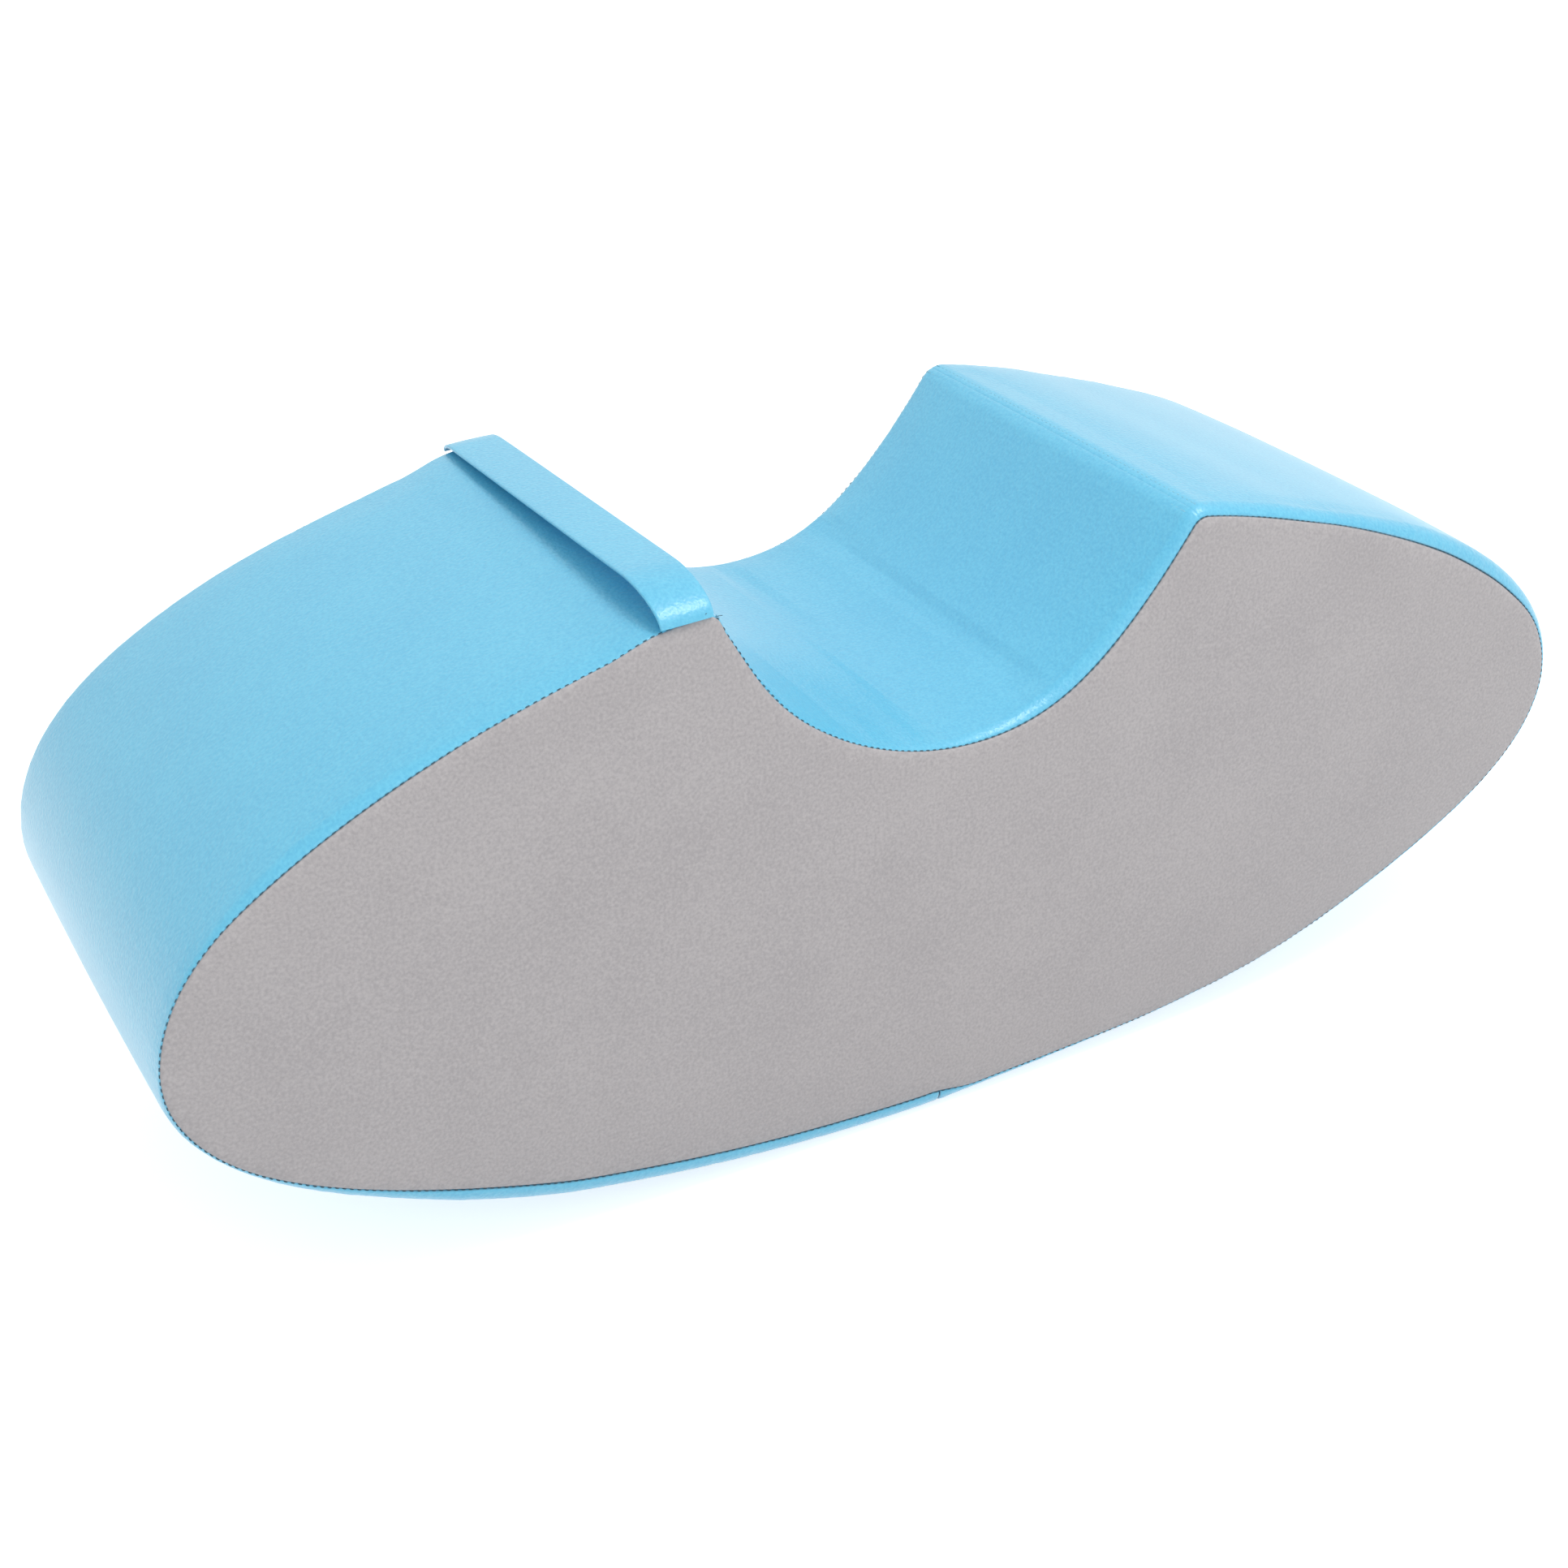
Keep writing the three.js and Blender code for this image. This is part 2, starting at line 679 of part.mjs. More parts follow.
function strapPath(depth) {
  const half = [];
  const wrapFrom = seamAngle * STRAP_END_SHARE;
  const wrapTo = seamAngle * STRAP_LEAVE_SHARE;
  half.push(filletPoint(wrapFrom, depth), filletPoint((wrapFrom + wrapTo) / 2, depth));
  const leave = filletPoint(wrapTo, depth);
  const level = { lift: STRAP_LIFT - depth - STRAP_THICKNESS, y: leave.y - STRAP_RISE };
  const handle = STRAP_RISE * STRAP_HANDLE_SHARE;
  const rise = new THREE.CubicBezierCurve(
    new THREE.Vector2(leave.y, leave.lift),
    new THREE.Vector2(leave.y - handle * Math.cos(wrapTo), leave.lift + handle * Math.sin(wrapTo)),
    new THREE.Vector2(level.y + handle, level.lift),
    new THREE.Vector2(level.y, level.lift),
  );
  for (let i = 0; i <= STRAP_STEPS; i++) {
    const point = rise.getPoint(i / STRAP_STEPS);
    half.push({ lift: point.y, y: point.x });
  }
  const front = [...half].reverse().map((point) => ({ lift: point.lift, y: -point.y }));
  return [...half, ...front];
}

function stationBeyondRidge(distance) {
  let left = distance;
  for (let i = ridgeIndex; i > 0; i--) {
    const from = rightHalf[i];
    const to = rightHalf[i - 1];
    const step = Math.hypot(to.x - from.x, to.z - from.z);
    if (left <= step) {
      const share = left / step;
      const nx = THREE.MathUtils.lerp(from.nx, to.nx, share);
      const nz = THREE.MathUtils.lerp(from.nz, to.nz, share);
      return {
        x: THREE.MathUtils.lerp(from.x, to.x, share),
        z: THREE.MathUtils.lerp(from.z, to.z, share),
        nx: nx / Math.hypot(nx, nz),
        nz: nz / Math.hypot(nx, nz),
      };
    }
    left -= step;
  }
  return rightHalf[0];
}

function carryStrap() {
  const middle = mirrored(stationBeyondRidge(STRAP_SETBACK + STRAP_WIDTH / 2));
  const stations = [moved(middle, -STRAP_WIDTH / 2), middle, moved(middle, STRAP_WIDTH / 2)];
  const outer = strapPath(-STRAP_CLEARANCE - STRAP_THICKNESS);
  const inner = strapPath(-STRAP_CLEARANCE);
  return skin(
    sectionGrid(stations, outer),
    sectionGrid(stations, inner),
    gridTriangles(stations.length, outer.length, false),
  );
}

// The gusset's strips under the horns, cut flat where the rocker stands

function cutFlat(geometry) {
  const size = LENGTH + WIDTH;
  const block = new THREE.BoxGeometry(size, size, CUT_OVERRUN);
  block.translate(0, 0, BASE_FLAT_DEPTH - CUT_OVERRUN / 2);
  return geometryFrom(solidFrom(geometry).subtract(solidFrom(block)));
}

function hornSkin(side) {
  const right = rightHalf.slice(0, ridgeIndex + 1);
  const stations = side === RIGHT ? right : right.map(mirrored).reverse();
  return cutFlat(gussetSkin(seamed(stations)));
}

function seatSkin() {
  const toMiddle = rightHalf.slice(ridgeIndex);
  const fromMiddle = toMiddle.slice(0, -1).map(mirrored).reverse();
  return gussetSkin(seamed([...toMiddle, ...fromMiddle]));
}

// The rear side has an opening for the zip, with its edge folded in over the upper tape
function rearSkin() {
  const beyond = WIDTH / 2 + CUT_OVERRUN;
  const lowEdge = -ZIP_BAND / 2 - SEAM_INSET / 2;
  const opening = arcBand(-zipHalf, zipHalf, lowEdge, ZIP_BAND / 2, edgeY - CUT_OVERRUN, beyond);
  const foldFrom = zipY + TAPE_THICKNESS / 2 + HEM_CLEARANCE;
  const foldTo = ZIP_BAND / 2 + HEM_WIDTH;
  const fold = solidFrom(arcBand(-zipHalf, zipHalf, ZIP_BAND / 2, foldTo, foldFrom, beyond));
  const folded = fold.intersect(bodySolid(COVER_THICKNESS / 2));
  return geometryFrom(solidFrom(sideSkin(REAR)).subtract(solidFrom(opening)).add(folded));
}

// The foam gives way behind the zip: a shallow band under the tapes, a deeper one for the slider
function foamCore() {
  const beyond = WIDTH / 2 + CUT_OVERRUN;
  const tapeFloor = zipY - TAPE_THICKNESS / 2 - CORE_CLEARANCE;
  const sliderFloor = zipY - wingTop - CORE_CLEARANCE;
  const high = ZIP_BAND / 2 + HEM_WIDTH + CORE_CLEARANCE;
  const low = ZIP_BAND / 2 + SEAM_INSET / 2;
  const sliderBand = frontHalf + SLIDER_CLEARANCE;
  const underTapes = arcBand(-zipHalf, zipHalf, -low, high, tapeFloor, beyond);
  const underSlider = arcBand(-zipHalf, zipHalf, -sliderBand, sliderBand, sliderFloor, beyond);
  const block = bodySolid(COVER_THICKNESS + CORE_CLEARANCE);
  return geometryFrom(block.subtract(solidFrom(underTapes)).subtract(solidFrom(underSlider)));
}

// The rocker

const rocker = new THREE.Group();
rocker.position.z = -BASE_FLAT_DEPTH;

function finish(colour, roughness, metalness) {
  return new THREE.MeshStandardMaterial({ color: colour, roughness, metalness, flatShading: true });
}

function add(parent, name, geometry, material) {
  const mesh = new THREE.Mesh(geometry, material);
  mesh.name = name;
  parent.add(mesh);
  return mesh;
}

const blueLeatherette = finish(COLOURS.blue, 0.5, 0);
const greyLeatherette = finish(COLOURS.grey, 0.55, 0);
const foam = finish(COLOURS.foam, 0.95, 0);
const wovenTape = finish(COLOURS.tape, 0.9, 0);
const mouldedTeeth = finish(COLOURS.tape, 0.4, 0);
const castMetal = finish(COLOURS.metal, 0.35, 1);

add(rocker, "foam_core", foamCore(), foam);
add(rocker, "side_panel_front", sideSkin(FRONT), greyLeatherette);
add(rocker, "side_panel_rear", rearSkin(), greyLeatherette);
add(rocker, "horn_panel_left", hornSkin(LEFT), blueLeatherette);
add(rocker, "horn_panel_right", hornSkin(RIGHT), blueLeatherette);
add(rocker, "seat_panel", seatSkin(), blueLeatherette);
add(rocker, "carry_strap", carryStrap(), blueLeatherette);

add(rocker, "zip_tape_upper", upperTape(), wovenTape);
add(rocker, "zip_tape_lower", lowerTape(), wovenTape);
add(rocker, "zip_teeth_upper", teethRow(1), mouldedTeeth);
add(rocker, "zip_teeth_lower", teethRow(-1), mouldedTeeth);
add(rocker, "zip_top_stop_upper", topStop(1), castMetal);
add(rocker, "zip_top_stop_lower", topStop(-1), castMetal);
add(rocker, "zip_bottom_stop", bottomStop(), castMetal);

// The slider swings about the centre of the base's arc, which carries it along the chain
const sliderCarrier = new THREE.Group();
sliderCarrier.position.set(0, zipY, BASE_RADIUS);
sliderCarrier.rotation.y = -sliderAlong / zipRadius;
rocker.add(sliderCarrier);
add(sliderCarrier, "zip_slider", zipSlider(), castMetal).position.z = -zipRadius;
add(sliderCarrier, "zip_pull", zipPull(), castMetal).position.z = -zipRadius;

export default rocker;
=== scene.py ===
"""Looks of a foam rocker: a padded boat with a round seat hollow, in a sewn leatherette cover.

Sizes are millimetres in the model's own frame: X along the rocker, Y across it with the front at
low Y, Z up from the floor. One function turns them to metres where a mesh is made. Places round
the side outline are given by the way along it: from the middle of the base, positive to the right.
"""

import logging
import math
from dataclasses import dataclass, field
from enum import Enum

import bpy
import numpy as np
from mathutils import Matrix


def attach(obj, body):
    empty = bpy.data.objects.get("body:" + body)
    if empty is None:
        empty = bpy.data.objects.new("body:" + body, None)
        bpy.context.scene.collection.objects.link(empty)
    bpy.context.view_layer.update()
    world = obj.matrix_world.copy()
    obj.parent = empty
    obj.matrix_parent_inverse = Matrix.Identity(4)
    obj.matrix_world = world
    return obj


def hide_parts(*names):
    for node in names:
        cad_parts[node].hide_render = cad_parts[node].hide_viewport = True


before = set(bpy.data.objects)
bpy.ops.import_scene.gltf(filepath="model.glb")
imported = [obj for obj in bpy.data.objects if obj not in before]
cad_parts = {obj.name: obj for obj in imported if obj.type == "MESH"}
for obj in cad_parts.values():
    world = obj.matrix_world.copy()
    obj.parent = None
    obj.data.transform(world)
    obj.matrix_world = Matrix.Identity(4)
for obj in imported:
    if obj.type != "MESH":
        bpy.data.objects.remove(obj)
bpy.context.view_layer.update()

LOG = logging.getLogger("foam_rocker")
MM = 0.001
ACROSS = np.array([0.0, 1.0, 0.0])
SHARP_ANGLE = math.radians(50)
NO_THREAD_WAY = np.array([0.3, 0.2, 1.0])  # a direction that no thread follows


class Side(Enum):
    """The two long sides of the rocker, by the sign of their Y."""

    FRONT = -1
    REAR = 1


class End(Enum):
    """The two horns, by the sign of their X."""

    LEFT = -1
    RIGHT = 1


# Numbers and fields


def smoothstep(low: float, high: float, value: np.ndarray) -> np.ndarray:
    """A soft step from 0 at low to 1 at high: 3 t squared less 2 t cubed."""
    t = np.clip((value - low) / (high - low), 0, 1)
    return t * t * (3 - 2 * t)


def unit(vectors: np.ndarray) -> np.ndarray:
    """Vectors of length one along the last axis."""
    return vectors / np.linalg.norm(vectors, axis=-1, keepdims=True)


def waves(along: np.ndarray, lengths: tuple[float, ...], seed: int) -> np.ndarray:
    """A sum of sines of these wavelengths with seeded phases, about 1 at most.

    Args:
        along: Places along the seam, in millimetres.
        lengths: Wavelengths in millimetres.
        seed: Seed of the phases.

    Returns:
        One value for each place.
    """
    phases = np.random.default_rng(seed).uniform(0, 2 * np.pi, len(lengths))
    total = sum(np.sin(2 * np.pi * along / size + phase) for size, phase in zip(lengths, phases))
    return total / len(lengths)


def bezier(corners: list[np.ndarray], t: np.ndarray) -> tuple[np.ndarray, np.ndarray]:
    """A cubic Bezier curve: its points and its derivatives at the parameters t.

    Args:
        corners: The curve's four control points.
        t: Parameters from 0 to 1.

    Returns:
        Points and derivatives, one row for each parameter.
    """
    a, b, c, d = corners
    t = t[:, None]
    u = 1 - t
    points = u**3 * a + 3 * t * u**2 * b + 3 * t**2 * u * c + t**3 * d
    slopes = 3 * u**2 * (b - a) + 6 * t * u * (c - b) + 3 * t**2 * (d - c)
    return points, slopes


@dataclass(frozen=True)
class RoundSeries:
    """A length that changes slowly round the outline: a mean and pairs of cosine and sine terms."""

    mean: float
    terms: tuple[tuple[float, float], ...]

    def at(self, turn: np.ndarray) -> np.ndarray:
        """The sum of a cos(k turn) + b sin(k turn) over the terms, on top of the mean.

        Args:
            turn: Angles round the outline.

        Returns:
            The length at each angle.
        """
        a, b = np.array(self.terms).T
        turns = turn[:, None] * np.arange(1, len(a) + 1)
        return self.mean + (a * np.cos(turns) + b * np.sin(turns)).sum(-1)


@dataclass(frozen=True)
class Swell:
    """A local rise of a length: it grows from start to full, stays until fall and is gone at end."""

    start: float
    full: float
    fall: float
    end: float
    height: float

    def at(self, way: np.ndarray) -> np.ndarray:
        """The height times a soft step up and a soft step down."""
        grown = smoothstep(self.start, self.full, way)
        return self.height * grown * (1 - smoothstep(self.fall, self.end, way))


@dataclass
class Stations:
    """Places on the side outline, each with its outward normal."""

    way: np.ndarray
    x: np.ndarray
    z: np.ndarray
    nx: np.ndarray
    nz: np.ndarray

    def place(self, lift: np.ndarray, y: np.ndarray) -> np.ndarray:
        """Points at lift out of the outline and at y across it, one row for each station.

        Args:
            lift: Heights over the outline, in rows.
            y: Places across it, in rows.

        Returns:
            The points, in the same rows.
        """
        lift, y = np.broadcast_arrays(lift, y)
        x = self.x[:, None] + self.nx[:, None] * lift
        z = self.z[:, None] + self.nz[:, None] * lift
        return np.stack([x, y, z], -1)

    def normals(self) -> np.ndarray:
        """The outward normals as vectors, in one row each, ready to spread over a section."""
        return np.stack([self.nx, np.zeros_like(self.nx), self.nz], -1)[:, None]


@dataclass
class Outline:
    """The rocker's side outline: a base arc, three free curves and a rounded ridge on each half.

    On top of it, sag says how far the stuffed cover stands out of it or sinks under it.
    """

    length: float = 980
    base_radius: float = 1235
    base_arc_half: float = 250
    flat_depth: float = 0.5
    tip_height: float = 187
    ridge_height: float = 380
    ridge_spacing: float = 330
    ridge_rounding: float = 14
    seat_height: float = 262
    seat_radius: float = 157
    seat_flank_slope: float = 1.02
    seat_flank_handle: float = 42
    horn_slope: float = 0.1
    flank_handle: float = 44
    tip_lower_handle: float = 91
    tip_upper_handle: float = 120
    ridge_handle: float = 78
    steps: int = 900
    nearby: float = 0.05  # step that measures how the sag leans
    sag: RoundSeries = RoundSeries(0.0, ((0.0, 0.0),))
    swells: tuple[Swell, ...] = ()

    def __post_init__(self) -> None:
        """Draws the right half once, and measures the way along it."""
        curves = self.curves()
        points = np.concatenate([curve[0][1:] for curve in curves])
        slopes = unit(np.concatenate([curve[1][1:] for curve in curves]))
        gaps = np.hypot(*np.diff(points, axis=0).T)
        self.way = np.concatenate([[0], np.cumsum(gaps)])
        self.x, self.z = points[:, 0], points[:, 1] - self.flat_depth
        self.nx, self.nz = slopes[:, 1], -slopes[:, 0]
        self.half_way = float(self.way[-1])
        ends = np.cumsum([len(curve[0]) - 1 for curve in curves]) - 1
        self.tip_way = float(self.way[ends[1]])
        self.ridge_way = float((self.way[ends[2]] + self.way[ends[3]]) / 2)

    def curves(self) -> list[tuple[np.ndarray, np.ndarray]]:
        """Points and directions of the right half's five curves, from the base to the seat.

        Returns:
            Points and directions, as x and z, of each curve.
        """
        t = np.linspace(0, 1, self.steps)
        turn = math.asin(self.base_arc_half / self.base_radius) * t
        arc = np.stack([np.sin(turn), 1 - np.cos(turn)], -1) * self.base_radius
        leave = np.array([math.cos(turn[-1]), math.sin(turn[-1])])
        base_end = arc[-1]
        tip = np.array([self.length / 2, self.tip_height])
        corner = np.array([self.ridge_spacing / 2, self.ridge_height])
        along_top = np.array([math.cos(self.horn_slope), -math.sin(self.horn_slope)])
        along_flank = -np.array([math.cos(self.seat_flank_slope), math.sin(self.seat_flank_slope)])
        half_angle = math.acos(along_top @ along_flank) / 2
        reach = self.ridge_rounding / math.tan(half_angle)
        top_end, flank_start = corner + along_top * reach, corner + along_flank * reach
        inward = unit(along_top + along_flank)
        centre = corner + inward * self.ridge_rounding / math.sin(half_angle)
        first, last = (math.atan2(*(p - centre)[::-1]) for p in (top_end, flank_start))
        bend = first + (last - first) * t
        ring = np.stack([np.cos(bend), np.sin(bend)], -1)
        flank_handle = flank_start + along_flank * self.seat_flank_handle
        rise = flank_handle[1] - self.seat_height
        middle = np.array([0, self.seat_height])
        middle_handle = np.array([math.sqrt(self.seat_radius * rise * 2 / 3), self.seat_height])
        lower = [base_end, base_end + leave * self.flank_handle, tip - [0, self.tip_lower_handle], tip]
        upper = [tip, tip + [0, self.tip_upper_handle], top_end + along_top * self.ridge_handle, top_end]
        return [
            (arc, np.stack([np.cos(turn), np.sin(turn)], -1)),
            bezier(lower, t),
            bezier(upper, t),
            (centre + ring * self.ridge_rounding, np.stack([-ring[:, 1], ring[:, 0]], -1)),
            bezier([flank_start, flank_handle, middle_handle, middle], t),
        ]

    def proud(self, way: np.ndarray) -> np.ndarray:
        """How far the stuffed cover stands out of the plain outline."""
        return self.sag.at(way * np.pi / self.half_way) + sum(swell.at(way) for swell in self.swells)

    def at(self, way: np.ndarray) -> Stations:
        """Stations at these ways round the outline; the left half mirrors the right one.

        Args:
            way: Ways round the outline.

        Returns:
            The stations, with the sag in their places and normals.
        """
        way = np.atleast_1d(np.asarray(way, float))
        turned = (way + self.half_way) % (2 * self.half_way) - self.half_way
        far, side = np.abs(turned), np.where(turned < 0, -1, 1)
        x, z, nx, nz = (np.interp(far, self.way, row) for row in (self.x, self.z, self.nx, self.nz))
        x, nx = x * side, nx * side
        out = self.proud(turned)
        near = self.nearby
        lean = (self.proud(turned + near) - self.proud(turned - near)) / (2 * near)
        x, z = x + nx * out, z + nz * out
        nx, nz = nx + nz * lean, nz - nx * lean
        size = np.hypot(nx, nz)
        return Stations(turned, x, z, nx / size, nz / size)


# Meshes


def grid_faces(rows: np.ndarray) -> np.ndarray:
    """Quads of a grid of vertex numbers, wound to look out where rows run round the outline."""
    return np.stack([rows[:-1, :-1], rows[:-1, 1:], rows[1:, 1:], rows[1:, :-1]], -1).reshape(-1, 4)


def walls(outer_loop: np.ndarray, inner_loop: np.ndarray, every: int) -> np.ndarray:
    """Faces from an outer boundary loop to an inner one that has every so many of its points.

    Args:
        outer_loop: Vertex numbers of the closed outer loop, in its faces' own direction.
        inner_loop: Vertex numbers under each every-th point of the outer loop.
        every: Outer edges for each inner edge.

    Returns:
        One face in each row.
    """
    count = len(inner_loop)
    chain = (np.arange(count)[:, None] * every + np.arange(every, -1, -1)) % (count * every)
    ends = np.stack([inner_loop, np.roll(inner_loop, -1)], -1)
    return np.concatenate([outer_loop[chain], ends], 1)


def grid_loop(rows: np.ndarray) -> np.ndarray:
    """The closed boundary of a grid of vertex numbers, in the direction of its faces."""
    return np.concatenate([rows[0, :-1], rows[:-1, -1], rows[-1, :0:-1], rows[:0:-1, 0]])


def make_piece(
    name: str,
    points: np.ndarray,
    faces: list[np.ndarray],
    finish: bpy.types.Material,
    marks: dict[str, np.ndarray] | None = None,
) -> bpy.types.Object:
    """Makes one object at the origin from points in millimetres.

    Args:
        name: The piece's name.
        points: One row for each vertex, in millimetres.
        faces: Arrays of faces, each array with one number of corners.
        finish: The piece's material.
        marks: Values for each vertex that the material reads, by name.

    Returns:
        The object, with smooth faces and sharp edges past the sharp angle.
    """
    mesh = bpy.data.meshes.new(name)
    corners = np.concatenate([face.ravel() for face in faces]).astype(np.int32)
    sizes = np.concatenate([np.full(len(face), face.shape[1]) for face in faces])
    mesh.vertices.add(len(points))
    mesh.vertices.foreach_set("co", (np.asarray(points, float) * MM).ravel())
    mesh.loops.add(len(corners))
    mesh.loops.foreach_set("vertex_index", corners)
    mesh.polygons.add(len(sizes))
    starts = np.concatenate([[0], np.cumsum(sizes)[:-1]]).astype(np.int32)
    mesh.polygons.foreach_set("loop_start", starts)
    mesh.update(calc_edges=True)
    for mark, values in (marks or {}).items():
        mesh.attributes.new(mark, "FLOAT", "POINT").data.foreach_set("value", values.astype(np.float32))
    mesh.shade_smooth()
    mesh.set_sharp_from_angle(angle=SHARP_ANGLE)
    mesh.materials.append(finish)
    piece = bpy.data.objects.new(name, mesh)
    bpy.context.scene.collection.objects.link(piece)
    return piece


def settle(piece: bpy.types.Object, slot: str, *nodes: str, body: str = "root") -> None:
    """Lets a piece ride on a body and hides the solids that it stands for.

    Args:
        piece: The piece.
        slot: The record's material slot; not used.
        nodes: The solids that it stands for.
        body: The body that it rides on.
    """
    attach(piece, body)
    if nodes:
        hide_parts(*nodes)
    LOG.info("%s: %d faces on %s", piece.name, len(piece.data.polygons), body)


# Cloth


@dataclass(frozen=True)
class ClothTest:
    """A short cloth simulation of a sewn panel that foam presses out between its seams."""

    pressure: float = 4
    frames: int = 20
    quality: int = 5
    mass: float = 0.4
    tension: float = 25
    bending: float = 2
    cap: float = 1.8  # millimetres that a point may move

    def swell(
        self, points: np.ndarray, normals: np.ndarray, faces: np.ndarray, pinned: np.ndarray
    ) -> np.ndarray:
        """How far each point moves out along its normal, within the cap; the foam lets none sink.

        Args:
            points: The panel's points, in millimetres.
            normals: The panel's outward normals.
            faces: Its quads.
            pinned: True for each point that a seam holds.

        Returns:
            One distance in millimetres for each point, 0 where the seam holds it.
        """
        sheet = make_piece("cloth_test", points, [faces], bpy.data.materials.new("cloth_test"))
        group = sheet.vertex_groups.new(name="seam")
        group.add(np.flatnonzero(pinned).tolist(), 1, "REPLACE")
        cloth = sheet.modifiers.new("cloth", "CLOTH")
        values = cloth.settings
        values.vertex_group_mass = group.name
        values.quality = self.quality
        values.mass = self.mass
        values.tension_stiffness = values.compression_stiffness = self.tension
        values.bending_stiffness = self.bending
        values.use_pressure = True
        values.uniform_pressure_force = self.pressure
        values.effector_weights.gravity = 0
        cloth.collision_settings.use_collision = False
        cloth.point_cache.frame_end = self.frames
        scene = bpy.context.scene
        for step in range(1, self.frames + 1):
            scene.frame_set(step)
        ready = sheet.evaluated_get(bpy.context.evaluated_depsgraph_get()).to_mesh()
        moved = np.empty(len(points) * 3, np.float32)
        ready.vertices.foreach_get("co", moved)
        scene.frame_set(1)
        bpy.data.objects.remove(sheet)
        out = ((moved.reshape(-1, 3) / MM - points) * normals).sum(1)
        return self.cap * np.tanh(np.maximum(out, 0) / self.cap) * ~pinned


def spread(
    rough: np.ndarray, rough_u: np.ndarray, rough_v: np.ndarray, u: np.ndarray, v: np.ndarray
) -> np.ndarray:
    """Carries values from a rough grid to a fine one by straight lines between the rough lines.

    Args:
        rough: Values on the rough grid.
        rough_u: The rough grid's places down its rows.
        rough_v: Its places across them.
        u: The fine grid's places down its rows.
        v: Its places across them.

    Returns:
        The values on the fine grid.
    """
    along = np.stack([np.interp(u, rough_u, rough[:, j]) for j in range(rough.shape[1])], 1)
    return np.stack([np.interp(v, rough_v, along[i]) for i in range(len(u))])


# Seams of the cover


# How far the front seam lies in from the side outline: most under the left of the base
FRONT_SEAM_INSET = RoundSeries(
    8.03,
    (
        (3.99, 0.75), (0.61, -4.03), (0.75, -1.75), (-0.16, -0.42), (-0.12, 0.77), (1.14, -0.11),
        (0.66, 0.11), (-0.48, -0.19), (0.07, 0.42),
    ),
)
# How far the stuffed cover stands out of the plain outline: full over the seat and the tips, not at
# all under the base, where the rocker rests
COVER_SAG = RoundSeries(
    2.11,
    (
        (-3.04, 0.83), (0.96, 0.92), (0.19, -1.29), (0.04, -0.55), (-0.60, 0.80), (0.01, 0.26),
        (0.81, -0.34), (-0.44, -0.31), (-0.15, 0.19), (0.16, 0.35), (-0.02, -0.34), (0.11, 0.06),
        (-0.24, -0.19), (0.08, 0.23), (0.14, -0.09),
    ),
)

# Local changes: the cover is full on both flanks of the seat, the strap pulls it up to a crisp corner at
# the left ridge, and it is tight right of the base's middle, under the left tip and on the right horn
COVER_SWELLS = (
    Swell(-1300, -1250, -1080, -1000, 1.9),
    Swell(1080, 1160, 1250, 1300, 1.9),
    Swell(-1060, -965, -932, -900, 3.0),
    Swell(-968, -960, -958.5, -950, 2.6),
    Swell(-20, 40, 100, 230, -2.8),
    Swell(-560, -460, -400, -280, -1.9),
    Swell(740, 800, 850, 900, -1.6),
)
# Where the front seam comes nearer to the outline
FRONT_SEAM_CHANGES = (
    Swell(-1060, -965, -932, -900, -0.8),
    Swell(-560, -460, -400, -280, -4.4),
    Swell(530, 580, 605, 660, -2.0),
    Swell(740, 800, 850, 900, -1.6),
    Swell(-930, -890, -830, -790, -0.6),
    Swell(-700, -650, -580, -520, -0.9),
    Swell(690, 740, 830, 880, -0.8),
)


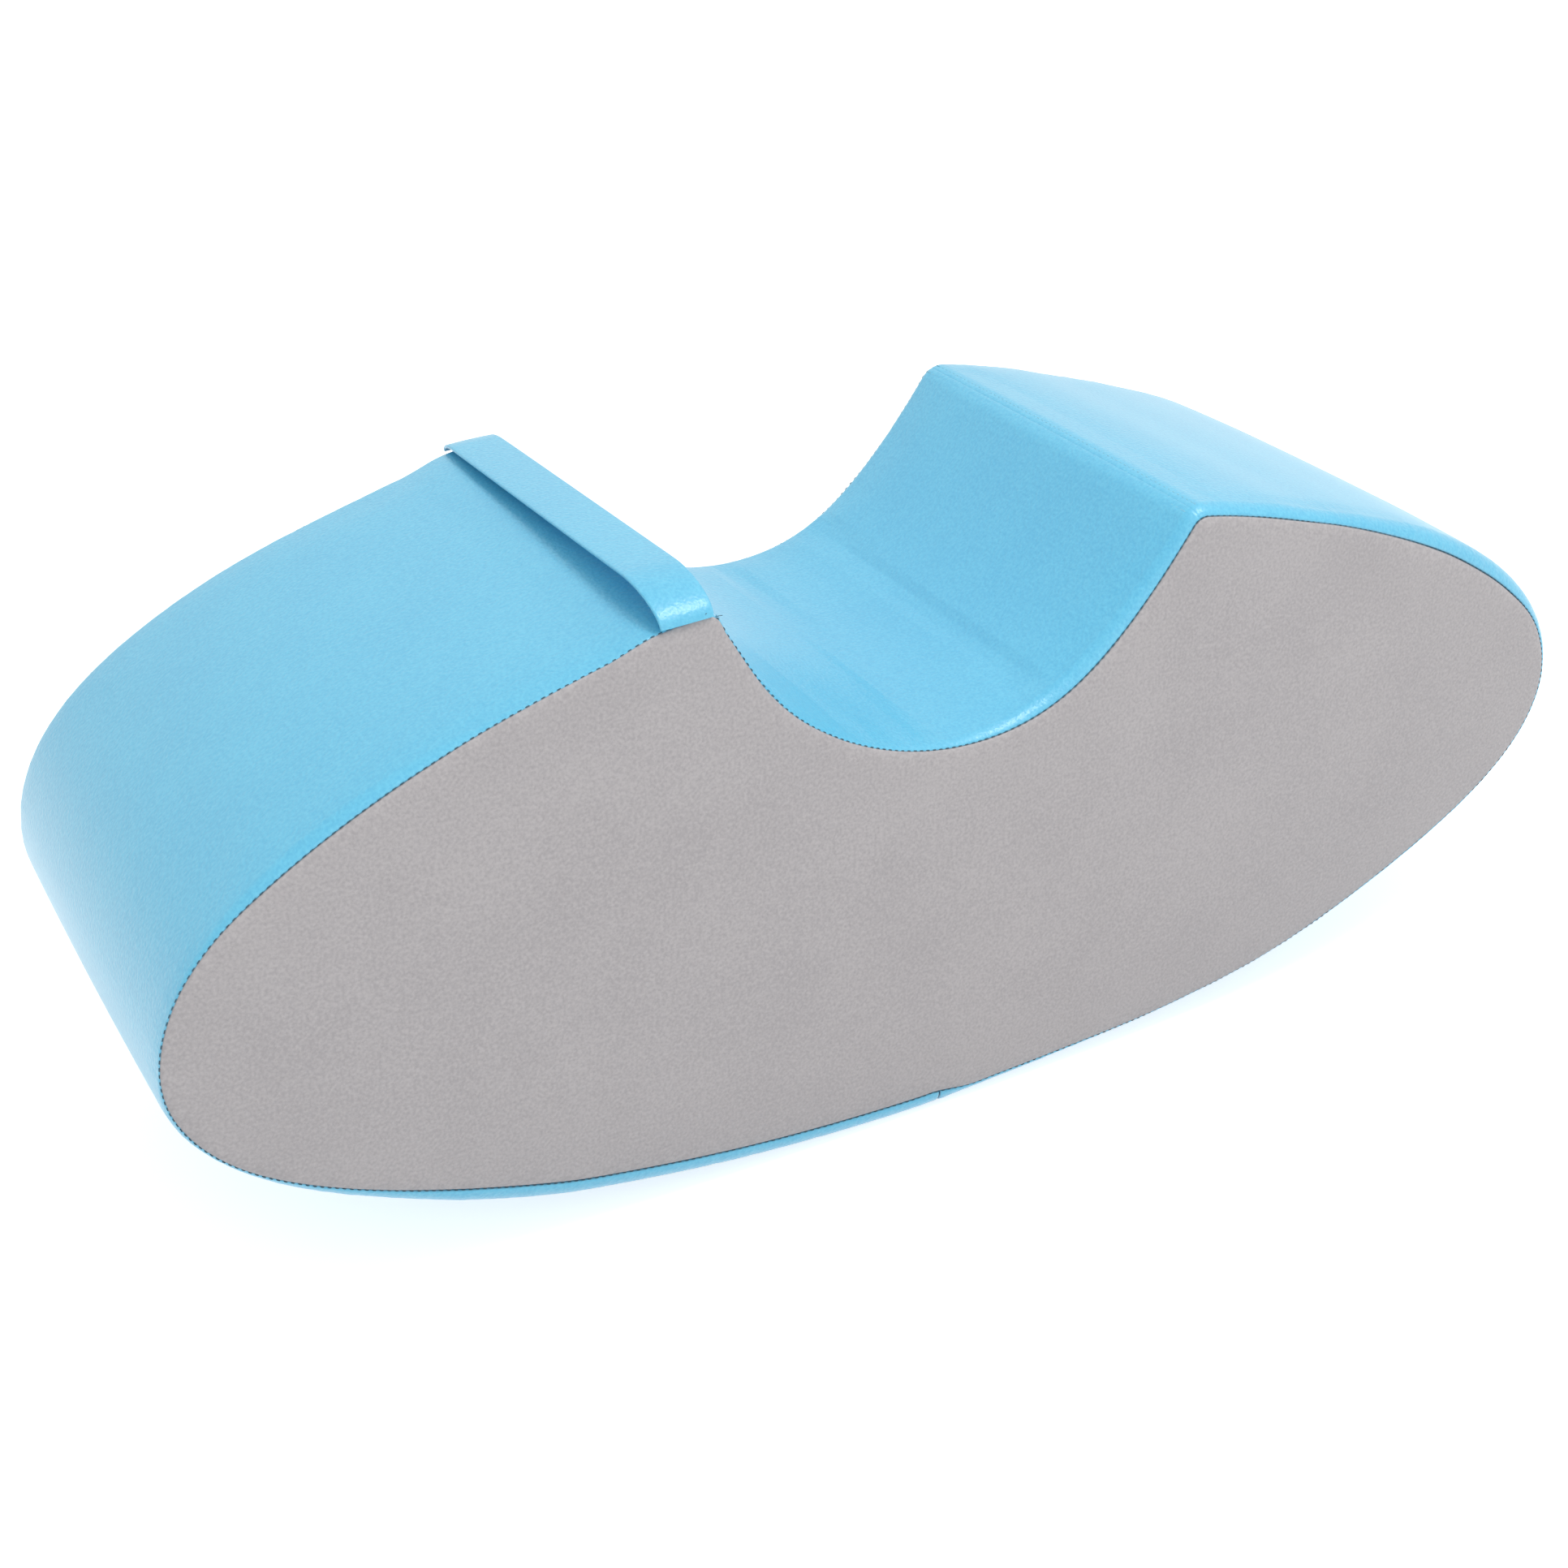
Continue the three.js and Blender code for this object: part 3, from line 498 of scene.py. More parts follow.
@dataclass(frozen=True)
class Seam:
    """The lockstitched side seam: where it runs, how deep it draws in and how it puckers."""

    front_inset: RoundSeries = FRONT_SEAM_INSET
    front_changes: tuple[Swell, ...] = FRONT_SEAM_CHANGES
    base_step: float = 6.6  # the right strip is this much narrower where the two meet
    base_step_start: tuple[float, float] = (-8.0, 30.0)
    base_step_reach: float = 200
    rear_inset: float = 3  # in from the outline
    zip_inset: float = 6
    y: float = 148.6
    zip_y: float = 145.5
    zip_end: tuple[float, float] = (300.0, 400.0)  # ways over which the zip's inset ends
    gap: float = 0.3
    front_radius: float = 13  # of the soft edge beside the seam
    rear_radius: float = 9
    steepest: float = math.radians(86)
    least_inset: float = 1.4
    depth: float = 1.1
    reach: float = 2.0
    pull_depth: float = 0.9
    pull_reach: float = 13
    pitch: float = 4.7
    stitch_pull: float = 0.25  # share by which the notch is deeper at each stitch
    pucker: float = 0.24
    pucker_reach: float = 7
    ripple_lengths: tuple[float, ...] = (9.1, 14.7, 23.0, 37.0)
    patch_lengths: tuple[float, ...] = (83.0, 141.0, 230.0)
    patch_share: float = 0.4  # of a ripple's height that comes and goes

    def front_at(self, way: np.ndarray, half_way: float) -> np.ndarray:
        """The front seam's inset: the slow series, its local changes and the step at the base.

        Args:
            way: Ways round the outline.
            half_way: The way of the seat's middle, half round.

        Returns:
            The inset at each way.
        """
        inset = self.front_inset.at(way * np.pi / half_way)
        inset = inset + sum(change.at(way) for change in self.front_changes)
        start = smoothstep(*self.base_step_start, way)
        step = start * np.clip(1 - way / self.base_step_reach, 0, 1)
        return np.maximum(inset - self.base_step * step, self.least_inset)

    def draw(self, way: np.ndarray, distance: np.ndarray) -> np.ndarray:
        """How far the skin lies under its plain surface.

        A notch at the seam goes with the cube of the way left to its reach and is deeper at each
        stitch, in a wide shallow pull that goes with the square.

        Args:
            way: Ways round the outline.
            distance: Distances from the seam.

        Returns:
            How far the skin moves out, so less than 0.
        """
        pull = 1 + self.stitch_pull * np.cos(2 * np.pi * way / self.pitch)
        notch = self.depth * pull * np.clip(1 - distance / self.reach, 0, 1) ** 3
        return -notch - self.pull_depth * np.clip(1 - distance / self.pull_reach, 0, 1) ** 2

    def puckers(self, way: np.ndarray, distance: np.ndarray) -> np.ndarray:
        """Small ripples across the seam, none on it, highest at pucker_reach and fading beyond.

        Args:
            way: Ways round the outline.
            distance: Distances from the seam.

        Returns:
            How far the skin moves out.
        """
        patches = 1 - self.patch_share + self.patch_share * waves(way, self.patch_lengths, seed=3)
        near = distance / self.pucker_reach
        return self.pucker * patches * waves(way, self.ripple_lengths, seed=7) * near * np.exp(1 - near)


@dataclass
class Gusset:
    """The blue strip that runs round the body: its surface over the way round and across.

    across runs from -2 at the front seam over -1, where the soft edge starts, and 0, the middle,
    to 2 at the rear seam.
    """

    outline: Outline
    seam: Seam
    crown: float = 1.2

    def edge(self, way: np.ndarray, side: Side) -> dict[str, np.ndarray]:
        """The soft edge at these ways: its seam's inset and y, its radius, angle and start.

        The angle comes from the inset: cos = 1 - (inset - crown) / radius, and the radius grows
        where the angle would pass the steepest one.

        Args:
            way: Ways round the outline.
            side: The side of the rocker.

        Returns:
            One value for each way, by name.
        """
        seam = self.seam
        if side is Side.FRONT:
            inset = seam.front_at(way, self.outline.half_way)
            least, y = seam.front_radius, np.full(len(way), seam.y)
        else:
            clear = smoothstep(*seam.zip_end, np.abs(way))
            inset = seam.zip_inset + (seam.rear_inset - seam.zip_inset) * clear
            least, y = seam.rear_radius, seam.zip_y + (seam.y - seam.zip_y) * clear
        fall = inset - self.crown
        radius = np.maximum(least, fall / (1 - math.cos(seam.steepest)))
        angle = np.arccos(1 - fall / radius)
        start = y - radius * np.sin(angle)
        return {"inset": inset, "y": y, "radius": radius, "angle": angle, "start": start}

    def section(self, way: np.ndarray, across: np.ndarray) -> dict[str, np.ndarray]:
        """Lift, y, tilt and distance to the near seam over a grid.

        The crown falls with the square of the way to the soft edge, which is an arc to the seam.

        Args:
            way: Ways round the outline.
            across: Places across, from -2 to 2.

        Returns:
            Grids by name, one row for each way.
        """
        parts = []
        for side in Side:
            edge = self.edge(way, side)
            radius, angle, start = (edge[name][:, None] for name in ("radius", "angle", "start"))
            size = across[None] * side.value
            flat, bend = np.clip(size, 0, 1), np.clip(size - 1, 0, 1) * angle
            lift = -self.crown * flat**2 - radius * (1 - np.cos(bend))
            y = (start * flat + radius * np.sin(bend)) * side.value
            tilt = (bend + 2 * self.crown / start * flat * (bend == 0)) * side.value
            away = radius * (angle - bend) + start * (1 - flat)
            parts.append((lift, y, tilt, away))
        front, rear = parts
        low = across[None] < 0
        names = ("lift", "y", "tilt", "away")
        return {name: np.where(low, a, b) for name, a, b in zip(names, front, rear)}

    def surface(self, way: np.ndarray, across: np.ndarray) -> dict[str, np.ndarray]:
        """Plain points, normals and seam distances over a grid of ways and places across.

        Args:
            way: Ways round the outline.
            across: Places across, from -2 to 2.

        Returns:
            Grids by name, and the ways as plus or minus half a round at most.
        """
        stations = self.outline.at(way)
        section = self.section(stations.way, across)
        tilt = section["tilt"][..., None]
        normals = stations.normals() * np.cos(tilt) + ACROSS * np.sin(tilt)
        points = stations.place(section["lift"], section["y"])
        return {"points": points, "normals": normals, "away": section["away"], "way": stations.way}

    def seam_line(self, way: np.ndarray, side: Side) -> dict[str, np.ndarray]:
        """The side seam: its points, the direction down the gusset there, and out of the notch.

        Args:
            way: Ways round the outline.
            side: The side of the rocker.

        Returns:
            One row for each way, by name.
        """
        stations = self.outline.at(way)
        section = self.section(stations.way, np.array([2.0 * side.value]))
        tilt = np.abs(section["tilt"])
        normal = stations.normals()[:, 0]
        down = -normal * np.sin(tilt) + ACROSS * side.value * np.cos(tilt)
        point = stations.place(section["lift"], section["y"])[:, 0]
        lean = (tilt + np.pi / 2) / 2
        out = normal * np.cos(lean) + ACROSS * side.value * np.sin(lean)
        return {"points": point, "down": down, "out": out, "way": stations.way, "normal": normal}


@dataclass(frozen=True)
class CrossSeam:
    """A seam across the gusset between two of its strips, closed with a gap and top-stitched."""

    depth: float = 0.25
    plain_depth: float = 0.8  # where it has no top stitches
    reach: float = 1.8
    row_offset: float = 3.4
    row_depth: float = 0.1
    row_half_width: float = 1.2

    def draw(self, distance: np.ndarray, stitched: bool) -> np.ndarray:
        """How far the strip lies under its plain surface, by its distance from the cross seam.

        Args:
            distance: Distances from the cross seam.
            stitched: Whether it has top stitches.

        Returns:
            How far the strip moves out, so less than 0.
        """
        depth = self.depth if stitched else self.plain_depth
        fall = -depth * np.clip(1 - distance / self.reach, 0, 1) ** 2
        if stitched:
            row = (distance - self.row_offset) / self.row_half_width
            fall = fall - self.row_depth * np.exp(-(row**2))
        return fall


@dataclass
class GussetStrip:
    """One strip of the gusset, a closed skin between two cross seams."""

    name: str
    node: str
    gusset: Gusset
    start: float
    stop: float
    stitched_start: bool
    stitched_stop: bool
    thickness: float = 1.2
    step: float = 1.25
    fine_step: float = 0.5
    fine_reach: float = 10
    crown_steps: int = 24
    edge_steps: int = 28
    edge_closeness: float = 1.6  # exponent that draws the soft edge's lines to the seam
    every: int = 4
    floor_share: float = 0.9  # of the thickness, kept inside the skin where it rests on the floor
    rough_step: float = 8
    rough_flat_lines: int = 13
    rough_edge: tuple[float, ...] = (1.3, 1.65, 2.0)
    cross: CrossSeam = CrossSeam()
    cloth: ClothTest = ClothTest()

    def ways(self) -> np.ndarray:
        """Ways along the strip: fine beside the cross seams, and a whole number of inner steps.

        Returns:
            The ways, from start to stop.
        """
        fine = int(self.fine_reach / self.fine_step)
        middle = self.stop - self.start - 2 * self.fine_reach
        count = int(np.ceil(middle / self.step / self.every)) * self.every
        head = self.start + np.arange(fine) * self.fine_step
        body = np.linspace(self.start + self.fine_reach, self.stop - self.fine_reach, count + 1)
        tail = self.stop - np.arange(fine)[::-1] * self.fine_step
        return np.concatenate([head, body, tail])

    def across(self) -> np.ndarray:
        """Places across the strip, closer together towards the seams.

        Returns:
            The places, from -2 to 2.
        """
        flat = np.linspace(0, 1, self.crown_steps + 1)
        edge = 2 - (1 - np.linspace(0, 1, self.edge_steps + 1)[1:]) ** self.edge_closeness
        half = np.concatenate([flat, edge])
        return np.concatenate([-half[:0:-1], half])

    def swelling(self, way: np.ndarray, across: np.ndarray) -> np.ndarray:
        """The cloth test's swelling on a rough grid, carried to the fine one.

        Args:
            way: The fine grid's ways.
            across: Its places across.

        Returns:
            How far each point moves out.
        """
        count = int((self.stop - self.start) / self.rough_step)
        rough_way = np.linspace(self.start, self.stop, count)
        rough_half = np.concatenate([np.linspace(0, 1, self.rough_flat_lines), self.rough_edge])
        rough_across = np.concatenate([-rough_half[:0:-1], rough_half])
        base = self.gusset.surface(rough_way, rough_across)
        rows = np.arange(base["away"].size).reshape(base["away"].shape)
        held = np.zeros(rows.shape, bool)
        held[[0, -1]] = held[:, [0, -1]] = True
        out = self.cloth.swell(
            base["points"].reshape(-1, 3), base["normals"].reshape(-1, 3), grid_faces(rows), held.ravel()
        )
        return spread(out.reshape(rows.shape), rough_way, rough_across, way, across)

    def build(self, finish: bpy.types.Material) -> bpy.types.Object:
        """Makes the strip: a plain surface moved along its normals by seams, puckers and swelling.

        Args:
            finish: Its material.

        Returns:
            The finished piece.
        """
        way, across = self.ways(), self.across()
        base = self.gusset.surface(way, across)
        seam = self.gusset.seam
        places = base["way"][:, None]
        move = seam.draw(places, base["away"]) + seam.puckers(places, base["away"])
        from_start, from_stop = (way - self.start)[:, None], (self.stop - way)[:, None]
        move = move + self.cross.draw(from_start, self.stitched_start)
        move = move + self.cross.draw(from_stop, self.stitched_stop)
        move = move + self.swelling(way, across)
        points = base["points"] + base["normals"] * move[..., None]
        inner = (points - base["normals"] * self.thickness)[:: self.every, :: self.every]
        points[..., 2] = np.maximum(points[..., 2], 0)
        inner[..., 2] = np.maximum(inner[..., 2], self.thickness * self.floor_share)
        rows = np.arange(points[..., 0].size).reshape(points.shape[:2])
        under = np.arange(inner[..., 0].size).reshape(inner.shape[:2]) + rows.size
        faces = [
            grid_faces(rows),
            grid_faces(under)[:, ::-1],
            walls(grid_loop(rows), grid_loop(under), self.every),
        ]
        away = base["away"]
        # Beside a cross seam without top stitches the painted seam shade darkens the strip as well
        for stitched, distance in ((self.stitched_start, from_start), (self.stitched_stop, from_stop)):
            away = away if stitched else np.minimum(away, distance)
        away = np.concatenate([away.ravel(), away[:: self.every, :: self.every].ravel()])
        everything = np.concatenate([points.reshape(-1, 3), inner.reshape(-1, 3)])
        piece = make_piece(self.name, everything, faces, finish, {"seam_mm": away})
        settle(piece, "blue_leatherette", self.node)
        return piece


@dataclass(frozen=True)
class ZipPlace:
    """Where the zip lies: a band on the base's arc, in the rear side."""

    base_radius: float = 1235
    arc_half: float = 235
    seam_inset: float = 6.3
    band: float = 17
    y: float = 145
    flat_depth: float = 0.5

    @property
    def radius(self) -> float:
        """Radius of the chain's middle line about the base arc's centre."""
        return self.base_radius - self.seam_inset - self.band / 2

    def at(self, along: np.ndarray, across: np.ndarray, y: np.ndarray) -> np.ndarray:
        """Points at a way along the chain's arc, a distance across it towards its centre, and y.

        Args:
            along: Ways along the arc from its middle.
            across: Distances from the chain's middle line, up.
            y: Places across the rocker.

        Returns:
            The points.
        """
        along, across, y = np.broadcast_arrays(along, across, y)
        angle = along / self.radius
        reach = self.radius - across
        x, z = reach * np.sin(angle), self.base_radius - reach * np.cos(angle) - self.flat_depth
        return np.stack([x, y, z], -1)


@dataclass
class SidePanel:
    """A grey side: rings from the side seam in to a spine, crowned by their distance from the seam."""

    side: Side
    gusset: Gusset
    zip_place: ZipPlace
    thickness: float = 1.2
    crown_reach: float = 80
    roll: float = 5
    roll_rise: float = 0.9
    middle_y: float = 150.4
    spine_share: float = 0.7
    dip_reach: float = 214.5
    pairs: int = 960
    rings: int = 40
    every: int = 4
    ring_growth: float = 3.4
    turning_shares: tuple[float, float] = (0.1, 0.5)  # of the way to the spine, where they turn to it
    batch: int = 4000  # ring points measured at a time
    rim_turn: float = 1.5  # how far from the seam the skin still faces out of the notch
    hem_lip: float = 2.4
    hem_rest: float = 0.75  # height of the folded hem over the tapes' middle
    zip_room: float = 0.5  # between the skin's inside and the tapes' middle
    zip_room_band: float = 5  # how much wider than the zip's band that room is
    rough_pairs: int = 120
    rough_rings: int = 12
    cloth: ClothTest = ClothTest(cap=1.5)

    def ways(self, pairs: int) -> np.ndarray:
        """Ways round the outline from the right tip, as many over the top as under the base.

        Args:
            pairs: Ways over the top.

        Returns:
            The ways, without the first one again at the end.
        """
        outline = self.gusset.outline
        top = np.linspace(outline.tip_way, 2 * outline.half_way - outline.tip_way, pairs + 1)
        base = np.linspace(-outline.tip_way, outline.tip_way, pairs + 1) + 2 * outline.half_way
        return np.concatenate([top[:-1], base[:-1]])

    def spine(self, x: np.ndarray) -> np.ndarray:
        """The spine's height: at the tips' height, dipping under the seat in a cosine.

        Args:
            x: Places along the rocker.

        Returns:
            The spine's height at each.
        """
        outline = self.gusset.outline
        share = np.minimum(np.abs(x) / self.dip_reach, 1)
        dip = (1 + np.cos(np.pi * share)) / 2
        return outline.tip_height - (outline.tip_height - outline.seat_height / 2) * dip

    def height(self, distance: np.ndarray, rim_y: np.ndarray) -> np.ndarray:
        """The panel's plain |y|: a quick roll up from the seam, then a slow crown to the middle.

        Args:
            distance: Distances from the seam.
            rim_y: The rim's |y| at each point's way.

        Returns:
            The panel's |y| at each point.
        """
        roll = 1 - (1 - np.minimum(distance / self.roll, 1)) ** 2
        crown = 1 - (1 - np.minimum(distance / self.crown_reach, 1)) ** 2
        rise = self.middle_y - rim_y - self.roll_rise
        return rim_y + self.roll_rise * roll + rise * crown

    def zip_height(self, distance: float) -> float:
        """The panel's plain |y| beside the zip."""
        seam = self.gusset.seam
        return float(self.height(np.array(distance), np.array(seam.zip_y + seam.gap / 2)))

    def opened(self, way: np.ndarray) -> np.ndarray:
        """How far in from the seam the panel starts: the zip's band within its arc, else nothing.

        Args:
            way: Ways round the outline.

        Returns:
            The way in at which the panel starts.
        """
        if self.side is Side.FRONT:
            return np.zeros_like(way)
        scale = self.zip_place.base_radius / self.zip_place.radius
        return np.where(np.abs(way) < self.zip_place.arc_half * scale, self.zip_place.band, 0.0)

    def flat_rings(self, way: np.ndarray, shares: np.ndarray) -> dict[str, np.ndarray]:
        """The rings seen from the side: x and z for each way and each share of the way to the spine.

        A ring point lies on the line from the seam to the spine; as far as the zip's inset reaches
        it starts square to the seam and bends to that line between the two turning shares.

        Args:
            way: Ways round the outline.
            shares: Shares of the way from the rim to the spine.

        Returns:
            The ring points, the rim, its inward directions, its ways and its y, by name.
        """
        line = self.gusset.seam_line(way, self.side)
        rim = line["points"] + line["down"] * self.gusset.seam.gap
        count = len(way)
        partner = (count - np.arange(count)) % count
        spine_x = self.spine_share * (rim[:, 0] + rim[partner, 0]) / 2
        spine = np.stack([spine_x, self.spine(spine_x)], -1)
        rim2, inward = rim[:, [0, 2]], -line["normal"][:, [0, 2]]
        reach = np.hypot(*(spine - rim2).T)[:, None]
        start = self.opened(line["way"])[:, None] / reach
        share = start + (1 - start) * shares[None]
        base = 1 - smoothstep(*self.gusset.seam.zip_end, np.abs(line["way"]))[:, None]
        bend = 1 - base * (1 - smoothstep(*self.turning_shares, share))
        square = inward[:, None] * (reach * share)[..., None]
        straight = (spine - rim2)[:, None] * share[..., None]
        flat = rim2[:, None] + square * (1 - bend[..., None]) + straight * bend[..., None]
        return {"flat": flat, "rim": rim2, "inward": inward, "way": line["way"], "rim_y": rim[:, 1]}

    def seam_distance(self, rings: dict[str, np.ndarray]) -> np.ndarray:
        """Distance of each ring point from the seam: square to it at the nearest place on it.

        Args:
            rings: What flat_rings gives.

        Returns:
            One distance for each ring point.
        """
        flat = rings["flat"].reshape(-1, 2)
        rim, inward = rings["rim"], rings["inward"]
        nearest = np.empty(len(flat), int)
        for first in range(0, len(flat), self.batch):
            part = flat[first : first + self.batch]
            gap = (part**2).sum(1)[:, None] + (rim**2).sum(1)[None] - 2 * part @ rim.T
            nearest[first : first + self.batch] = gap.argmin(1)
        away = np.abs(((flat - rim[nearest]) * inward[nearest]).sum(1))
        reach = np.hypot(*(flat - rim[nearest]).T)
        away = np.where(away < self.roll, np.maximum(away, reach * (reach > self.roll)), reach)
        return away.reshape(rings["flat"].shape[:2])

    def hem(self, way: np.ndarray, distance: np.ndarray) -> np.ndarray:
        """How far the panel turns down to the zip's tape at its folded edge, as a quarter round.

        Args:
            way: Ways round the outline.
            distance: Distances from the seam.

        Returns:
            How far each point lies lower.
        """
        past = distance - self.opened(way)[:, None]
        inside = (self.opened(way) > 0)[:, None]
        left = np.clip(1 - past / self.hem_lip, 0, 1)
        drop = self.zip_height(self.zip_place.band) - (self.zip_place.y + self.hem_rest)
        return np.where(inside, drop * (1 - np.sqrt(1 - left**2)), 0.0)

    def surface(self, pairs: int, shares: np.ndarray) -> dict[str, np.ndarray]:
        """The panel's points before its small relief, and what that relief needs.

        Args:
            pairs: Ways over the top, and as many under the base.
            shares: Shares of the way to the spine.

        Returns:
            Points, distances from the seam and ways, by name.
        """
        rings = self.flat_rings(self.ways(pairs), shares)
        away = self.seam_distance(rings)
        rim_y = np.abs(rings["rim_y"])[:, None]
        y = self.height(away, rim_y) - self.hem(rings["way"], away)
        flat = rings["flat"]
        points = np.stack([flat[..., 0], y * self.side.value, flat[..., 1]], -1)
        return {"points": points, "away": away, "way": rings["way"]}

    def shares(self, rings: int) -> np.ndarray:
        """Shares of the way to the spine that grow with the exponent of the ring's number."""
        steps = np.linspace(0, 1, rings + 1)
        return (np.exp(self.ring_growth * steps) - 1) / (math.exp(self.ring_growth) - 1)

    def ring_rows(self, pairs: int, rings: int, first: int) -> np.ndarray:
        """Vertex numbers of the rings, one row for each way, closed round and with one shared spine.

        Args:
            pairs: Ways over the top, and as many under the base.
            rings: Rings without the spine.
            first: The first vertex's number.

        Returns:
            The numbers, with the first row again at the end.
        """
        count = 2 * pairs
        rows = first + np.arange(count)[:, None] * rings + np.arange(rings)[None]
        spine = first + count * rings + np.minimum(np.arange(count), count - np.arange(count))
        rows = np.concatenate([rows, spine[:, None]], 1)
        return np.concatenate([rows, rows[:1]])

    def listed(self, grid: np.ndarray) -> np.ndarray:
        """A grid's values as ring_rows numbers them: the rings' own, then one for each spine point.

        Args:
            grid: One row for each way, the spine's value last.

        Returns:
            The values in the vertices' order.
        """
        pairs = len(grid) // 2
        width = grid.shape[2:]
        return np.concatenate([grid[:, :-1].reshape(-1, *width), grid[: pairs + 1, -1]])

    def swelling(self, way: np.ndarray, shares: np.ndarray) -> np.ndarray:
        """The cloth test's swelling on a rough set of rings, carried to the fine one.

        Args:
            way: The fine rings' ways.
            shares: Their shares of the way to the spine.

        Returns:
            How far each point moves out.
        """
        pairs, rings = self.rough_pairs, self.rough_rings
        rough_shares = self.shares(rings)
        base = self.surface(pairs, rough_shares)
        rows = self.ring_rows(pairs, rings, 0)
        held = np.zeros(base["away"].shape, bool)
        held[:, 0] = True
        faces = grid_faces(rows)[:, :: -self.side.value]
        points = self.listed(base["points"])
        normals = np.broadcast_to(ACROSS * self.side.value, points.shape)
        out = self.cloth.swell(points, normals, faces, self.listed(held))
        grid = out[np.minimum(rows, len(out) - 1)]
        rough_way = np.arange(2 * pairs + 1) / (2 * pairs)
        return spread(grid, rough_way, rough_shares, np.arange(len(way)) / len(way), shares)

    def build(self, name: str, node: str, finish: bpy.types.Material) -> bpy.types.Object:
        """Makes the panel as a closed skin with its notch at the seam, puckers and swelling.

        Args:
            name: The piece's name.
            node: The solid that it stands for.
            finish: Its material.

        Returns:
            The finished piece.
        """
        shares = self.shares(self.rings)
        base = self.surface(self.pairs, shares)
        seam, sign = self.gusset.seam, self.side.value
        line = self.gusset.seam_line(self.ways(self.pairs), self.side)
        places = base["way"][:, None]
        plain = ACROSS * sign
        blend = np.exp(-base["away"] / self.rim_turn)[..., None]
        out = unit(line["out"][:, None] * blend + plain * (1 - blend))
        sewn = (self.opened(base["way"]) == 0)[:, None]
        move = seam.draw(places, base["away"]) * sewn + seam.puckers(places, base["away"])
        move = move + self.swelling(base["way"], shares)
        points = base["points"] + out * move[..., None]
        picked = np.append(np.arange(0, self.rings, self.every), self.rings)
        inner = (points - out * self.thickness)[:: self.every][:, picked]
        inner_away = base["away"][:: self.every][:, picked]
        if self.side is Side.REAR:
            behind = inner_away > self.zip_place.band - self.zip_room_band
            raised = np.maximum(inner[..., 1], self.zip_place.y + self.zip_room)
            inner[..., 1] = np.where(behind, raised, inner[..., 1])
        rows = self.ring_rows(self.pairs, self.rings, 0)
        outer_points = self.listed(points)
        under = self.ring_rows(self.pairs // self.every, len(picked) - 1, len(outer_points))
        faces = [
            grid_faces(rows)[:, ::-1],
            grid_faces(under),
            walls(rows[:-1, 0], under[:-1, 0], self.every),
        ]
        if self.side is Side.REAR:
            faces = [face[:, ::-1] for face in faces]
        away = np.concatenate([self.listed(base["away"]), self.listed(inner_away)])
        everything = np.concatenate([outer_points, self.listed(inner)])
        piece = make_piece(name, everything, faces, finish, {"seam_mm": away})
        settle(piece, "grey_leatherette", node)
        return piece


@dataclass
class FoamBody:
    """The foam block inside the cover, a little smaller than it all round."""

    front: SidePanel
    rear: SidePanel
    depth: float = 3.6
    zip_floor: float = 141.6
    zip_reach: float = 30  # how far from the seam the block keeps clear of the zip
    zip_half: float = 250  # and how far to each side of the base's middle
    edge_lines: int = 7
    crown_lines: int = 9
    crown_share: float = 0.8
    pairs: int = 240
    rings: int = 12

    def build(self, finish: bpy.types.Material) -> bpy.types.Object:
        """Makes the block: front rings, the section across and rear rings as one closed grid.

        Args:
            finish: Its material.

        Returns:
            The finished piece.
        """
        gusset = self.front.gusset
        edge = np.linspace(1, 2, self.edge_lines)
        crown = np.linspace(-self.crown_share, self.crown_share, self.crown_lines)
        across = np.concatenate([-edge[::-1], crown, edge])
        base = gusset.surface(self.front.ways(self.pairs), across)
        band = base["points"] - base["normals"] * self.depth
        parts = []
        for panel in (self.front, self.rear):
            face = panel.surface(self.pairs, panel.shares(self.rings))
            points = face["points"].copy()
            low = np.abs(points[..., 1]) - self.depth
            if panel.side is Side.REAR:
                beside = (np.abs(face["way"]) < self.zip_half)[:, None]
                near = (face["away"] < self.zip_reach) & beside
                low = np.where(near, np.minimum(low, self.zip_floor), low)
            points[..., 1] = low * panel.side.value
            parts.append(points)
        front, rear = parts
        inside = [front[:, 1:-1][:, ::-1], band, rear[:, 1:-1]]
        grid = np.concatenate(inside, 1)
        count, width = grid.shape[:2]
        rows = np.arange(count * width).reshape(count, width)
        half = np.minimum(np.arange(count), count - np.arange(count))
        first = count * width
        ends = [first + half[:, None], first + self.pairs + 1 + half[:, None]]
        rows = np.concatenate([ends[0], rows, ends[1]], 1)
        rows = np.concatenate([rows, rows[:1]])
        spines = [part[: self.pairs + 1, -1] for part in parts]
        points = np.concatenate([grid.reshape(-1, 3), *spines])
        piece = make_piece("foam_block", points, [grid_faces(rows)], finish)
        settle(piece, "foam", "foam_core")
        return piece


# Threads


